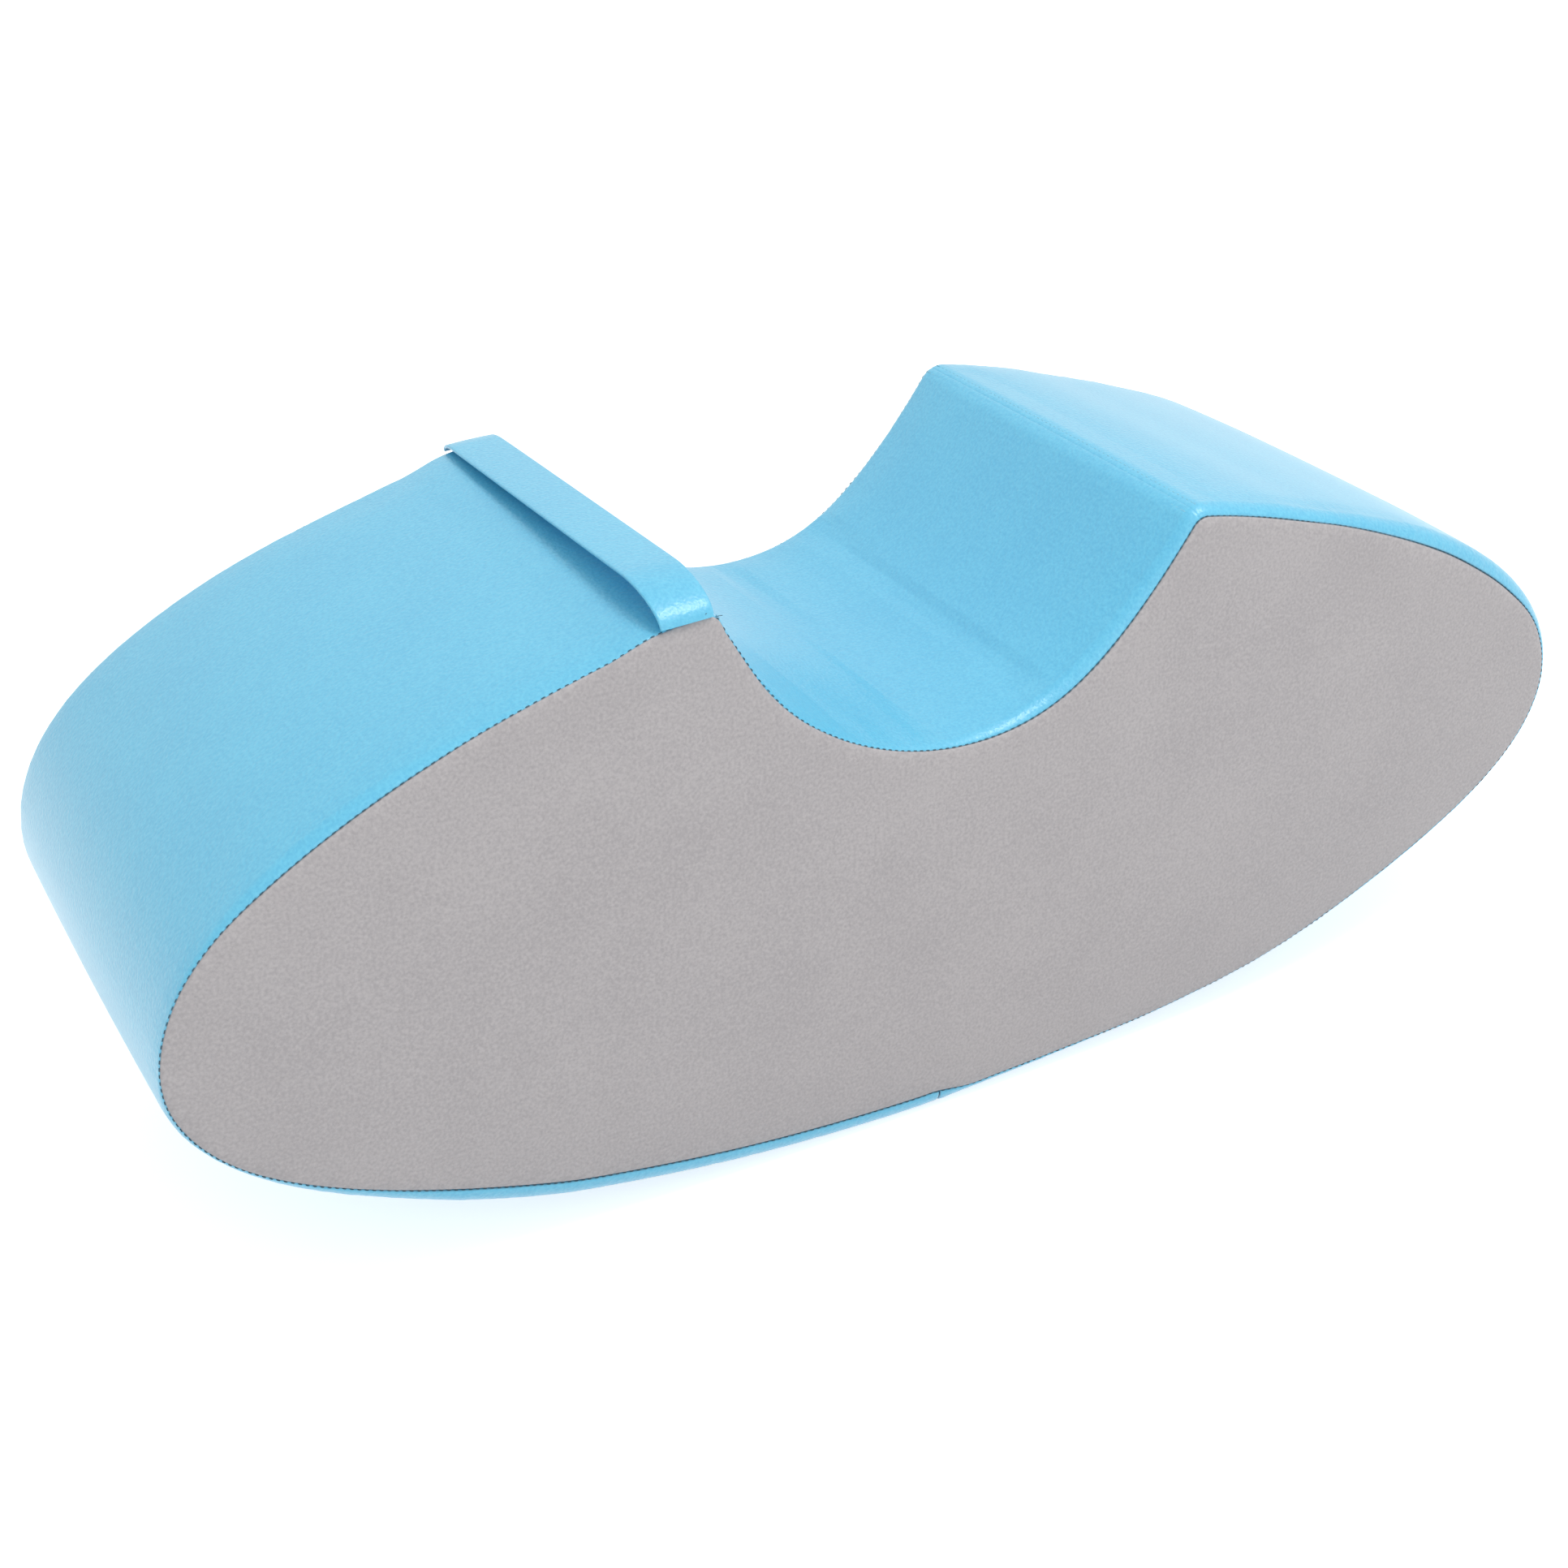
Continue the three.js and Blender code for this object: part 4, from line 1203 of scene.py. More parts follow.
@dataclass(frozen=True)
class Stitches:
    """A row of separate stitches: short bowed threads, thicker in the middle, ends sunk in."""

    length: float = 3.2
    width: float = 0.7
    bow: float = 0.5
    sides: int = 6
    ring_places: tuple[float, ...] = (-0.88, -0.45, 0.45, 0.88)  # from end to end, -1 to 1
    ring_sizes: tuple[float, ...] = (0.62, 1.0, 1.0, 0.62)

    def mesh(
        self, centres: np.ndarray, along: np.ndarray, out: np.ndarray
    ) -> tuple[np.ndarray, list[np.ndarray]]:
        """Points and faces of one small closed thread at each centre.

        A thread is rings round a line that dips with the square of the way from its middle.

        Args:
            centres: The stitches' middles.
            along: Their directions.
            out: The directions out of the cloth.

        Returns:
            The points, and arrays of faces.
        """
        beside = unit(np.cross(out, along))
        angles = np.arange(self.sides) * 2 * np.pi / self.sides
        u = np.append(np.repeat(self.ring_places, self.sides), [-1, 1])
        side = np.outer(self.ring_sizes, np.cos(angles)).ravel() * self.width / 2
        rise = np.outer(self.ring_sizes, np.sin(angles)).ravel() * self.width / 2
        side, rise = np.append(side, [0, 0]), np.append(rise, [0, 0])
        rise = rise - self.bow * u**2
        template = [a[None, :, None] for a in (u * self.length / 2, side, rise)]
        points = centres[:, None] + along[:, None] * template[0]
        points = points + beside[:, None] * template[1] + out[:, None] * template[2]
        size = len(u)
        ring = np.arange(self.sides)
        after = (ring + 1) % self.sides
        quads = np.concatenate(
            [np.stack([k + ring, k + after, k + self.sides + after, k + self.sides + ring], -1)
             for k in range(0, 3 * self.sides, self.sides)]
        )
        top = 3 * self.sides
        first = np.stack([np.full(self.sides, size - 2), after, ring], -1)
        last = np.stack([np.full(self.sides, size - 1), top + ring, top + after], -1)
        shift = (np.arange(len(centres)) * size)[:, None, None]
        faces = [(shape[None] + shift).reshape(-1, shape.shape[1]) for shape in (quads, first, last)]
        return points.reshape(-1, 3), faces


def join_parts(parts: list[tuple[np.ndarray, list[np.ndarray]]]) -> tuple[np.ndarray, list[np.ndarray]]:
    """Several meshes' points and faces as one mesh's.

    Args:
        parts: Each mesh's points and arrays of faces.

    Returns:
        The points and arrays of faces of the whole.
    """
    points, faces, count = [], [], 0
    for part_points, part_faces in parts:
        faces += [face + count for face in part_faces]
        points.append(part_points)
        count += len(part_points)
    return np.concatenate(points), faces


def tube(path: np.ndarray, radius: float, sides: int) -> tuple[np.ndarray, list[np.ndarray]]:
    """A closed round tube along a path: rings square to the path, with flat ends.

    Args:
        path: The middle line's points.
        radius: The tube's radius.
        sides: Points round it.

    Returns:
        Its points and arrays of faces.
    """
    along = unit(np.gradient(path, axis=0))
    side = unit(np.cross(along, NO_THREAD_WAY))
    other = np.cross(along, side)
    angle = np.arange(sides) * 2 * np.pi / sides
    ring = side[:, None] * np.cos(angle)[None, :, None] + other[:, None] * np.sin(angle)[None, :, None]
    points = path[:, None] + ring * radius
    rows = np.arange(len(path) * sides).reshape(len(path), sides)
    rows = np.concatenate([rows, rows[:, :1]], 1)
    return points.reshape(-1, 3), [grid_faces(rows)[:, ::-1], rows[:1, :-1][:, ::-1], rows[-1:, :-1]]


@dataclass
class SeamThreads:
    """The dark thread that shows between the two skins of each side seam: real thread, whose dark slate
    colour is partly a painted shade, as its dashes also stand in for the shade between the stitches.
    """

    gusset: Gusset
    rise: float = -1.0
    unevenness: float = 0.3
    uneven_lengths: tuple[float, ...] = (31.0, 83.0, 190.0)
    sunk: Swell = Swell(600, 700, 930, 960, -0.5)  # hardly seen along the right horn's top
    stitches: Stitches = Stitches(length=2.6, width=0.62, bow=0.3)

    def build(self, name: str, side: Side, finish: bpy.types.Material) -> bpy.types.Object:
        """Makes one stitch for each pitch round the side seam, low in the notch.

        Args:
            name: The piece's name.
            side: The side of the rocker.
            finish: Its material.

        Returns:
            The finished piece.
        """
        outline, seam = self.gusset.outline, self.gusset.seam
        count = int(2 * outline.half_way / seam.pitch)
        way = (np.arange(count) + 0.5) * 2 * outline.half_way / count - outline.half_way
        line = self.gusset.seam_line(way, side)
        ahead = self.gusset.seam_line(way + 1, side)["points"]
        along = unit(ahead - line["points"])
        out = unit(line["out"] - along * (line["out"] * along).sum(1, keepdims=True))
        uneven = self.unevenness * waves(way, self.uneven_lengths, seed=11)
        rise = (self.rise + self.sunk.at(way) + uneven)[:, None]
        centres = line["points"] + line["down"] * seam.gap / 2 + out * rise
        piece = make_piece(name, *self.stitches.mesh(centres, along, out), finish)
        settle(piece, "blue_leatherette" if side is Side.FRONT else "grey_leatherette")
        return piece


@dataclass
class RidgeStitches:
    """Two rows of top stitches along each ridge, one beside each edge of the cross seam."""

    gusset: Gusset
    cross: CrossSeam = CrossSeam()
    end_room: float = 6
    reach: float = 1.05  # across the gusset, just into the soft edges
    rise: float = 0.12  # of the thread over the row's groove
    pitch: float = 4.2
    stitches: Stitches = Stitches(length=2.8, width=0.55, bow=0.45)

    def build(self, name: str, end: End, finish: bpy.types.Material) -> bpy.types.Object:
        """Makes the rows from seam to seam, at the row's offset on both sides of the ridge.

        Args:
            name: The piece's name.
            end: The horn whose ridge it is.
            finish: Its material.

        Returns:
            The finished piece.
        """
        outline, seam = self.gusset.outline, self.gusset.seam
        count = int(2 * (seam.y - self.end_room) / self.pitch)
        across = np.linspace(-self.reach, self.reach, count)
        parts = []
        for offset in (-self.cross.row_offset, self.cross.row_offset):
            way = (outline.ridge_way + offset) * end.value
            base = self.gusset.surface(np.array([way]), across)
            out = unit(base["normals"][0])
            along = unit(np.cross(out, np.cross(ACROSS, out)))
            centres = base["points"][0] - out * (self.cross.row_depth - self.rise)
            parts.append(self.stitches.mesh(centres, along, out))
        piece = make_piece(name, *join_parts(parts), finish)
        settle(piece, "blue_leatherette")
        return piece


@dataclass
class LooseEnds:
    """Short cut thread ends at the front corner of the left ridge."""

    gusset: Gusset
    width: float = 0.4
    sides: int = 6
    steps: int = 9
    root_depth: float = 0.8
    forward: float = 0.6  # share of the bend that goes to the front
    shapes: tuple[tuple[float, float, float], ...] = (  # way from the corner, length and bend
        (-1.5, 2.6, 1.5),
        (1.0, 1.8, -1.6),
        (3.5, 3.2, 0.8),
    )

    def build(self, finish: bpy.types.Material) -> bpy.types.Object:
        """Makes three thin curved threads: each leaves the corner and bends to one side.

        Args:
            finish: Its material.

        Returns:
            The finished piece.
        """
        outline = self.gusset.outline
        parts = []
        for offset, length, bend in self.shapes:
            line = self.gusset.seam_line(np.array([-outline.ridge_way + offset]), Side.FRONT)
            out = line["out"][0]
            root = line["points"][0] - out * self.root_depth
            t = np.linspace(0, 1, self.steps)[:, None]
            path = root + out * length * t + (ACROSS * -self.forward + [1, 0, 0]) * bend * t**2
            parts.append(tube(path, self.width / 2, self.sides))
        piece = make_piece("thread_ends", *join_parts(parts), finish)
        settle(piece, "blue_leatherette")
        return piece


# Carrying strap


@dataclass
class CarryStrap:
    """The flat strap over the left horn, sewn in at both side seams."""

    gusset: Gusset
    middle_x: float = -177.25
    width: float = 33.5
    thickness: float = 2.0
    lean: float = math.radians(2.6)  # its left edge lies lower
    front_lift: float = 14.8  # of its upper face over the cover, at each end of the level run
    rear_lift: float = 4.2
    front_rise: float = 45
    rear_rise: float = 17
    steep: float = math.radians(84)
    corner_share: float = 0.55
    corner: float = 0.9
    crown: float = 0.35
    gather: float = 0.06
    gather_reach: float = 12
    root_out: float = 0.3  # past the seam
    root_depth: float = 0.6  # under it
    bend_steps: int = 60
    path_steps: int = 200
    flat_points: int = 15
    corner_points: int = 5
    seam_clear: float = 3.0  # its edges are drawn as this far from a seam, so none gets the painted seam shade

    def half_path(self, side: Side, way: float) -> np.ndarray:
        """The strap's lower face from the side seam up to its level run, as y and lift.

        It stands up out of the seam and bends over to the run like a quarter of an ellipse.

        Args:
            side: The side of the rocker.
            way: The way round the outline of the strap's middle.

        Returns:
            Two values for each point: y, and lift over the cover.
        """
        edge = self.gusset.edge(np.array([way]), side)
        front = side is Side.FRONT
        rise, lift = (self.front_rise, self.front_lift) if front else (self.rear_rise, self.rear_lift)
        root = np.array([edge["y"][0] + self.root_out, -edge["inset"][0] - self.root_depth])
        level = np.array([root[0] - rise, lift - self.thickness])
        slope = (self.front_lift - self.rear_lift) / (2 * root[0] - self.front_rise - self.rear_rise)
        tall = level[1] - root[1]
        leave = np.array([-math.cos(self.steep), math.sin(self.steep)])
        first = root + leave * tall * self.corner_share
        ahead = np.array([1, slope if front else -slope])
        last = level + ahead * rise * self.corner_share
        curve = bezier([root, first, last, level], np.linspace(0, 1, self.bend_steps))[0]
        return curve * [side.value, 1]

    def build(self, finish: bpy.types.Material) -> bpy.types.Object:
        """Makes the strap: a flat section with soft corners, carried along its path.

        Args:
            finish: Its material.

        Returns:
            The finished piece.
        """
        outline = self.gusset.outline
        ways = np.linspace(-outline.ridge_way, -outline.ridge_way + 2 * self.width, 400)
        stations = outline.at(ways)
        middle = int(np.abs(stations.x - self.middle_x).argmin())
        centre = np.array([stations.x[middle], 0, stations.z[middle]])
        along_body = np.array([math.cos(self.lean), 0, math.sin(self.lean)])
        normal = np.array([-math.sin(self.lean), 0, math.cos(self.lean)])
        front, rear = (self.half_path(side, ways[middle]) for side in Side)
        line = np.concatenate([front, rear[::-1]])
        gaps = np.concatenate([[0], np.cumsum(np.hypot(*np.diff(line, axis=0).T))])
        even = np.linspace(0, gaps[-1], self.path_steps)
        y, lift = (np.interp(even, gaps, line[:, k]) for k in (0, 1))
        path = centre + ACROSS * y[:, None] + normal * lift[:, None]
        direction = unit(np.gradient(path, axis=0))
        out = np.cross(direction, along_body)
        out *= np.sign(out @ normal)[:, None]
        side_way, height = self.profile()
        nearest = np.minimum(even, even[-1] - even)[:, None]
        wide = side_way[None] * (1 - self.gather * np.exp(-nearest / self.gather_reach))
        points = path[:, None] + along_body * wide[..., None] + out[:, None] * height[None, :, None]
        rows = np.arange(points[..., 0].size).reshape(points.shape[:2])
        closed = np.concatenate([rows, rows[:, :1]], 1)
        faces = [grid_faces(closed)[:, ::-1], rows[:1], rows[-1:, ::-1]]
        if (np.cross(direction[0], along_body) @ out[0]) < 0:
            faces = [face[:, ::-1] for face in faces]
        clear = np.full(rows.size, self.seam_clear)
        piece = make_piece("carry_strap_band", points.reshape(-1, 3), faces, finish, {"seam_mm": clear})
        settle(piece, "blue_leatherette", "carry_strap")
        return piece

    def profile(self) -> tuple[np.ndarray, np.ndarray]:
        """The strap's section: way across it and height, a crowned flat with rounded corners.

        Returns:
            The way across and the height of each point round the section.
        """
        half, thick, corner = self.width / 2, self.thickness, self.corner
        flat = np.linspace(-1, 1, self.flat_points) * (half - corner)
        bend = np.linspace(0, np.pi / 2, self.corner_points)[1:-1]
        turns = [
            (half - corner + corner * np.sin(bend), thick - corner + corner * np.cos(bend)),
            (half - corner + corner * np.cos(bend), corner - corner * np.sin(bend)),
            (-half + corner - corner * np.sin(bend), corner - corner * np.cos(bend)),
            (-half + corner - corner * np.cos(bend), thick - corner + corner * np.sin(bend)),
        ]
        top_height = thick + self.crown * (1 - (flat / half) ** 2)
        across = [flat, turns[0][0], turns[1][0], flat[::-1], turns[2][0], turns[3][0]]
        height = [top_height, turns[0][1], turns[1][1], 0 * flat, turns[2][1], turns[3][1]]
        return np.concatenate(across), np.concatenate(height)


# Zip


@dataclass
class ZipTape:
    """One woven tape of the zip, a flat band with rounded edges on the base's arc.

    Past the stops it widens until it nearly meets the other tape.
    """

    place: ZipPlace
    inner: float  # its edge beside the chain
    outer: float
    half_gap: float = 0.2  # to the middle line, past the stops
    closing: tuple[float, float] = (229.0, 232.0)
    end_gap: float = 0.4
    thickness: float = 0.8
    steps: int = 300
    flat_points: int = 9
    edge_points: int = 5

    def build(self, name: str, node: str, finish: bpy.types.Material) -> bpy.types.Object:
        """Makes the tape: a flat section carried along the arc.

        Args:
            name: The piece's name.
            node: The solid that it stands for.
            finish: Its material.

        Returns:
            The finished piece.
        """
        half = self.place.arc_half - self.end_gap
        along = np.linspace(-half, half, self.steps)
        half_thick = self.thickness / 2
        angle = np.linspace(-np.pi / 2, np.pi / 2, self.edge_points)[1:-1]
        low, high = sorted((self.inner, self.outer))
        flat = np.linspace(low + half_thick, high - half_thick, self.flat_points)
        round_out, round_up = half_thick * np.cos(angle), half_thick * np.sin(angle)
        across = np.concatenate([flat, flat[-1] + round_out[::-1], flat[::-1], flat[0] - round_out])
        face = np.full(self.flat_points, half_thick)
        rise = np.concatenate([face, round_up[::-1], -face, round_up])
        share = (across - self.outer) / (self.inner - self.outer)
        shift = math.copysign(self.half_gap, self.inner) - self.inner
        closed_up = smoothstep(*self.closing, np.abs(along))
        across = across + shift * np.outer(closed_up, share)
        points = self.place.at(along[:, None], across, self.place.y + rise[None])
        rows = np.arange(points[..., 0].size).reshape(points.shape[:2])
        closed = np.concatenate([rows, rows[:, :1]], 1)
        faces = [grid_faces(closed)[:, ::-1], rows[:1], rows[-1:, ::-1]]
        piece = make_piece(name, points.reshape(-1, 3), faces, finish)
        settle(piece, "zip_tape", node)
        return piece


def give(piece: bpy.types.Object, finish: bpy.types.Material) -> None:
    """Gives every slot of a solid the same finish.

    Args:
        piece: The solid.
        finish: Its material.
    """
    if not piece.data.materials:
        piece.data.materials.append(finish)
    for slot in piece.material_slots:
        slot.material = finish


@dataclass
class ZipDress:
    """The zip's look: woven tapes, hem stitches and the finishes of its moulded and cast parts."""

    place: ZipPlace
    panel: SidePanel
    edge: float = 3.3
    low: float = -8.0
    high: float = 16.5
    hem_inset: float = 4.2
    hem_end: float = 3
    hem_pitch: float = 4.2
    hem_rise: float = 0.05
    hem_row: Stitches = Stitches(length=3.0, width=0.7, bow=0.5)
    weld: float = 0.01
    bevel: float = 0.22
    bevel_segments: int = 2
    bevel_angle: float = math.radians(35)

    def tapes(self, finish: bpy.types.Material) -> None:
        """Makes both tapes."""
        ZipTape(self.place, self.edge, self.high).build("zip_tape_top", "zip_tape_upper", finish)
        ZipTape(self.place, -self.edge, self.low).build("zip_tape_base", "zip_tape_lower", finish)

    def hem_stitches(self, finish: bpy.types.Material) -> None:
        """Makes one row of stitches through the folded hem and the upper tape.

        Args:
            finish: Its material.
        """
        half = self.place.arc_half - self.hem_end
        along = np.linspace(-half, half, int(2 * half / self.hem_pitch))
        across = self.place.band / 2 + self.hem_inset
        y = self.panel.zip_height(self.place.band + self.hem_inset) + self.hem_rise
        centres = self.place.at(along, across, y)
        ahead = self.place.at(along + 1, across, y)
        direction = unit(ahead - centres)
        out = np.broadcast_to(ACROSS, centres.shape)
        piece = make_piece("hem_stitches", *self.hem_row.mesh(centres, direction, out), finish)
        settle(piece, "grey_leatherette")

    def rounded_copy(self, node: str, name: str, body: str, finish: bpy.types.Material) -> None:
        """Makes a merged copy of a cast or moulded part with its edges rounded, in its place.

        Args:
            node: The solid that it stands for.
            name: The piece's name.
            body: The body that it rides on.
            finish: Its material.
        """
        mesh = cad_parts[node].data.copy()
        mesh.materials.clear()
        mesh.materials.append(finish)
        copy = bpy.data.objects.new(name, mesh)
        bpy.context.scene.collection.objects.link(copy)
        weld = copy.modifiers.new("weld", "WELD")
        weld.merge_threshold = self.weld * MM
        bevel = copy.modifiers.new("bevel", "BEVEL")
        bevel.width = self.bevel * MM
        bevel.segments = self.bevel_segments
        bevel.limit_method = "ANGLE"
        bevel.angle_limit = self.bevel_angle
        bevel.use_clamp_overlap = True
        settle(copy, "zip_metal", node, body=body)

    def dress(self, teeth: bpy.types.Material, metal: bpy.types.Material) -> None:
        """Finishes the teeth and stops in place, and rounds the slider and its pull.

        Args:
            teeth: The teeth's material.
            metal: The stops', slider's and pull's material.
        """
        for node in ("zip_teeth_upper", "zip_teeth_lower"):
            give(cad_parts[node], teeth)
        for node in ("zip_top_stop_upper", "zip_top_stop_lower", "zip_bottom_stop"):
            give(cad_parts[node], metal)
        self.rounded_copy("zip_slider", "cast_slider", "slider", metal)
        self.rounded_copy("zip_pull", "cast_pull", "pull", metal)


# Finishes


def linear(colour: str) -> tuple[float, float, float, float]:
    """An sRGB hex colour as linear red, green, blue and alpha.

    Args:
        colour: A hash and six hex digits.

    Returns:
        Four values from 0 to 1.
    """
    parts = [int(colour[i : i + 2], 16) / 255 for i in (1, 3, 5)]
    parts = [v / 12.92 if v <= 0.04045 else ((v + 0.055) / 1.055) ** 2.4 for v in parts]
    return (*parts, 1.0)


def darker(colour: str, share: float) -> tuple[float, float, float, float]:
    """An sRGB hex colour as linear values, each only this share of the colour's own."""
    return (*(share * value for value in linear(colour)[:3]), 1.0)


def add_node(tree: bpy.types.NodeTree, kind: str, inputs: dict, **settings) -> bpy.types.Node:
    """Adds a node: settings are its own properties, inputs its sockets' values or what links in.

    Args:
        tree: The node tree.
        kind: The node's type.
        inputs: Values or sockets by the input's name or number.
        settings: The node's properties by name.

    Returns:
        The node.
    """
    node = tree.nodes.new(kind)
    for name, value in settings.items():
        setattr(node, name, value)
    for name, value in inputs.items():
        if isinstance(value, bpy.types.NodeSocket):
            tree.links.new(value, node.inputs[name])
        else:
            node.inputs[name].default_value = value
    return node


def new_finish(name: str) -> tuple[bpy.types.Material, bpy.types.NodeTree, bpy.types.Node]:
    """An empty material with its output, and its node tree.

    Args:
        name: The material's name.

    Returns:
        The material, its node tree and its output node.
    """
    material = bpy.data.materials.new(name)
    material.use_nodes = True
    tree = material.node_tree
    tree.nodes.clear()
    return material, tree, tree.nodes.new("ShaderNodeOutputMaterial")


@dataclass(frozen=True)
class Leatherette:
    """PVC-coated knit, calendered with a fine leather grain: an even colour with a soft wide gloss."""

    name: str
    colour: str
    shade: str
    roughness: float = 0.5
    specular: float = 0.5
    coat: float = 0.0
    coat_roughness: float = 0.33
    grain: float = 2.0  # millimetres from one grain to the next, twice the real one's, so that it shows
    grain_depth: float = 0.2
    mottle: float = 60
    mottling: float = 0.3  # share of the slow mottle in the colour, beside the grain
    contrast: float = 0.18  # reach of the two noises to each side of their middle
    gloss_spread: float = 0.04
    notch: tuple[float, float] = (0.2, 0.9)  # distances from the seam over which the painted seam shade fades to clear
    # colour of the painted shade in the seam's notch
    painted_seam_shade: str = "#3f86a6"

    def material(self) -> bpy.types.Material:
        """Makes the finish: grain from cells and noise, slow mottling, and a painted shade in the seam's
        notch.

        Returns:
            The material.
        """
        material, tree, output = new_finish(self.name)
        place = add_node(tree, "ShaderNodeTexCoord", {}).outputs["Object"]
        noise = {"Vector": place, "Scale": 1 / (self.mottle * MM), "Detail": 3.0, "Roughness": 0.55}
        slow = add_node(tree, "ShaderNodeTexNoise", noise).outputs["Fac"]
        speck = {"Vector": place, "Scale": 1 / (self.grain * MM), "Detail": 2.0}
        fine = add_node(tree, "ShaderNodeTexNoise", speck).outputs["Fac"]
        cells = {"Vector": place, "Scale": 1 / (self.grain * MM), "Randomness": 1.0}
        cell = add_node(tree, "ShaderNodeTexVoronoi", cells, feature="SMOOTH_F1").outputs["Distance"]
        mixed = {0: slow, 1: self.mottling, 2: fine}
        both = add_node(tree, "ShaderNodeMath", mixed, operation="MULTIPLY_ADD").outputs[0]
        middle = (1 + self.mottling) / 2
        least, most = middle - self.contrast, middle + self.contrast
        spread_out = {"Value": both, "From Min": least, "From Max": most}
        vary = add_node(tree, "ShaderNodeMapRange", spread_out).outputs[0]
        tint = {"Factor": vary, 6: linear(self.shade), 7: linear(self.colour)}
        colour = add_node(tree, "ShaderNodeMix", tint, data_type="RGBA").outputs[2]
        # Painted shade: near the seam the colour turns to the painted seam shade, as shade falls into
        # the notch
        away = add_node(tree, "ShaderNodeAttribute", {}, attribute_name="seam_mm").outputs["Fac"]
        notch = {"Value": away, "From Min": self.notch[0], "From Max": self.notch[1]}
        clear = add_node(tree, "ShaderNodeMapRange", notch, interpolation_type="SMOOTHSTEP").outputs[0]
        seam = {"Factor": clear, 6: linear(self.painted_seam_shade), 7: colour}
        colour = add_node(tree, "ShaderNodeMix", seam, data_type="RGBA").outputs[2]
        low, high = self.roughness - self.gloss_spread, self.roughness + self.gloss_spread
        gloss = {"Value": slow, "To Min": low, "To Max": high}
        rough = add_node(tree, "ShaderNodeMapRange", gloss).outputs[0]
        height = add_node(tree, "ShaderNodeMath", {0: cell, 1: fine}, operation="ADD").outputs[0]
        relief = {"Height": height, "Strength": 1.0, "Distance": self.grain_depth * MM}
        bump = add_node(tree, "ShaderNodeBump", relief).outputs[0]
        skin = {
            "Base Color": colour,
            "Roughness": rough,
            "Normal": bump,
            "IOR": 1.5,
            "Specular IOR Level": self.specular,
            "Coat Weight": self.coat,
            "Coat Roughness": self.coat_roughness,
            "Coat Normal": bump,
        }
        shader = add_node(tree, "ShaderNodeBsdfPrincipled", skin)
        tree.links.new(shader.outputs[0], output.inputs["Surface"])
        return material


@dataclass(frozen=True)
class Thread:
    """Twisted polyester sewing thread: matt, with a faint twist."""

    name: str
    colour: str
    twist: float = 0.6
    # share of the colour left in the painted shade of the twist's grooves
    shade: float = 0.6
    roughness: float = 0.75

    def material(self) -> bpy.types.Material:
        """Makes the finish: one colour, with a painted shade in the grooves of the twist.

        Returns:
            The material.
        """
        material, tree, output = new_finish(self.name)
        place = add_node(tree, "ShaderNodeTexCoord", {}).outputs["Object"]
        wave = {"Vector": place, "Scale": 0.5 / (self.twist * MM), "Distortion": 1.0}
        ply = add_node(tree, "ShaderNodeTexWave", wave, bands_direction="DIAGONAL").outputs["Fac"]
        # Painted shade: the colour darkens in the twist's grooves, where the relief is low
        tint = {"Factor": ply, 6: darker(self.colour, self.shade), 7: linear(self.colour)}
        colour = add_node(tree, "ShaderNodeMix", tint, data_type="RGBA").outputs[2]
        relief = {"Height": ply, "Strength": 0.6, "Distance": 0.05 * MM}
        bump = add_node(tree, "ShaderNodeBump", relief).outputs[0]
        twine = {"Base Color": colour, "Roughness": self.roughness, "Normal": bump}
        shader = add_node(tree, "ShaderNodeBsdfPrincipled", twine)
        tree.links.new(shader.outputs[0], output.inputs["Surface"])
        return material


@dataclass(frozen=True)
class WovenTape:
    """Woven polyester zip tape: a matt twill with a fine rib along the chain."""

    name: str
    colour: str
    thread: float = 0.55
    # share of the colour left in the painted shade of the weave's low places
    shade: float = 0.7
    roughness: float = 0.9
    depth: float = 0.12

    def material(self) -> bpy.types.Material:
        """Makes the finish: warp and weft as two crossed waves that mix colour and height; the low
        places get a painted shade.

        Returns:
            The material.
        """
        material, tree, output = new_finish(self.name)
        place = add_node(tree, "ShaderNodeTexCoord", {}).outputs["Object"]
        size = 0.5 / (self.thread * MM)
        warp = add_node(tree, "ShaderNodeTexWave", {"Vector": place, "Scale": size}, bands_direction="X")
        weft = add_node(tree, "ShaderNodeTexWave", {"Vector": place, "Scale": size}, bands_direction="Z")
        weave = {0: warp.outputs["Fac"], 1: weft.outputs["Fac"]}
        high = add_node(tree, "ShaderNodeMath", weave, operation="MULTIPLY").outputs[0]
        # Painted shade: the colour darkens where the weave lies low
        tint = {"Factor": high, 6: darker(self.colour, self.shade), 7: linear(self.colour)}
        colour = add_node(tree, "ShaderNodeMix", tint, data_type="RGBA").outputs[2]
        relief = {"Height": high, "Strength": 0.8, "Distance": self.depth * MM}
        bump = add_node(tree, "ShaderNodeBump", relief).outputs[0]
        rough = self.roughness
        cloth = {"Base Color": colour, "Roughness": rough, "Normal": bump, "Sheen Weight": 0.2}
        shader = add_node(tree, "ShaderNodeBsdfPrincipled", cloth)
        tree.links.new(shader.outputs[0], output.inputs["Surface"])
        return material


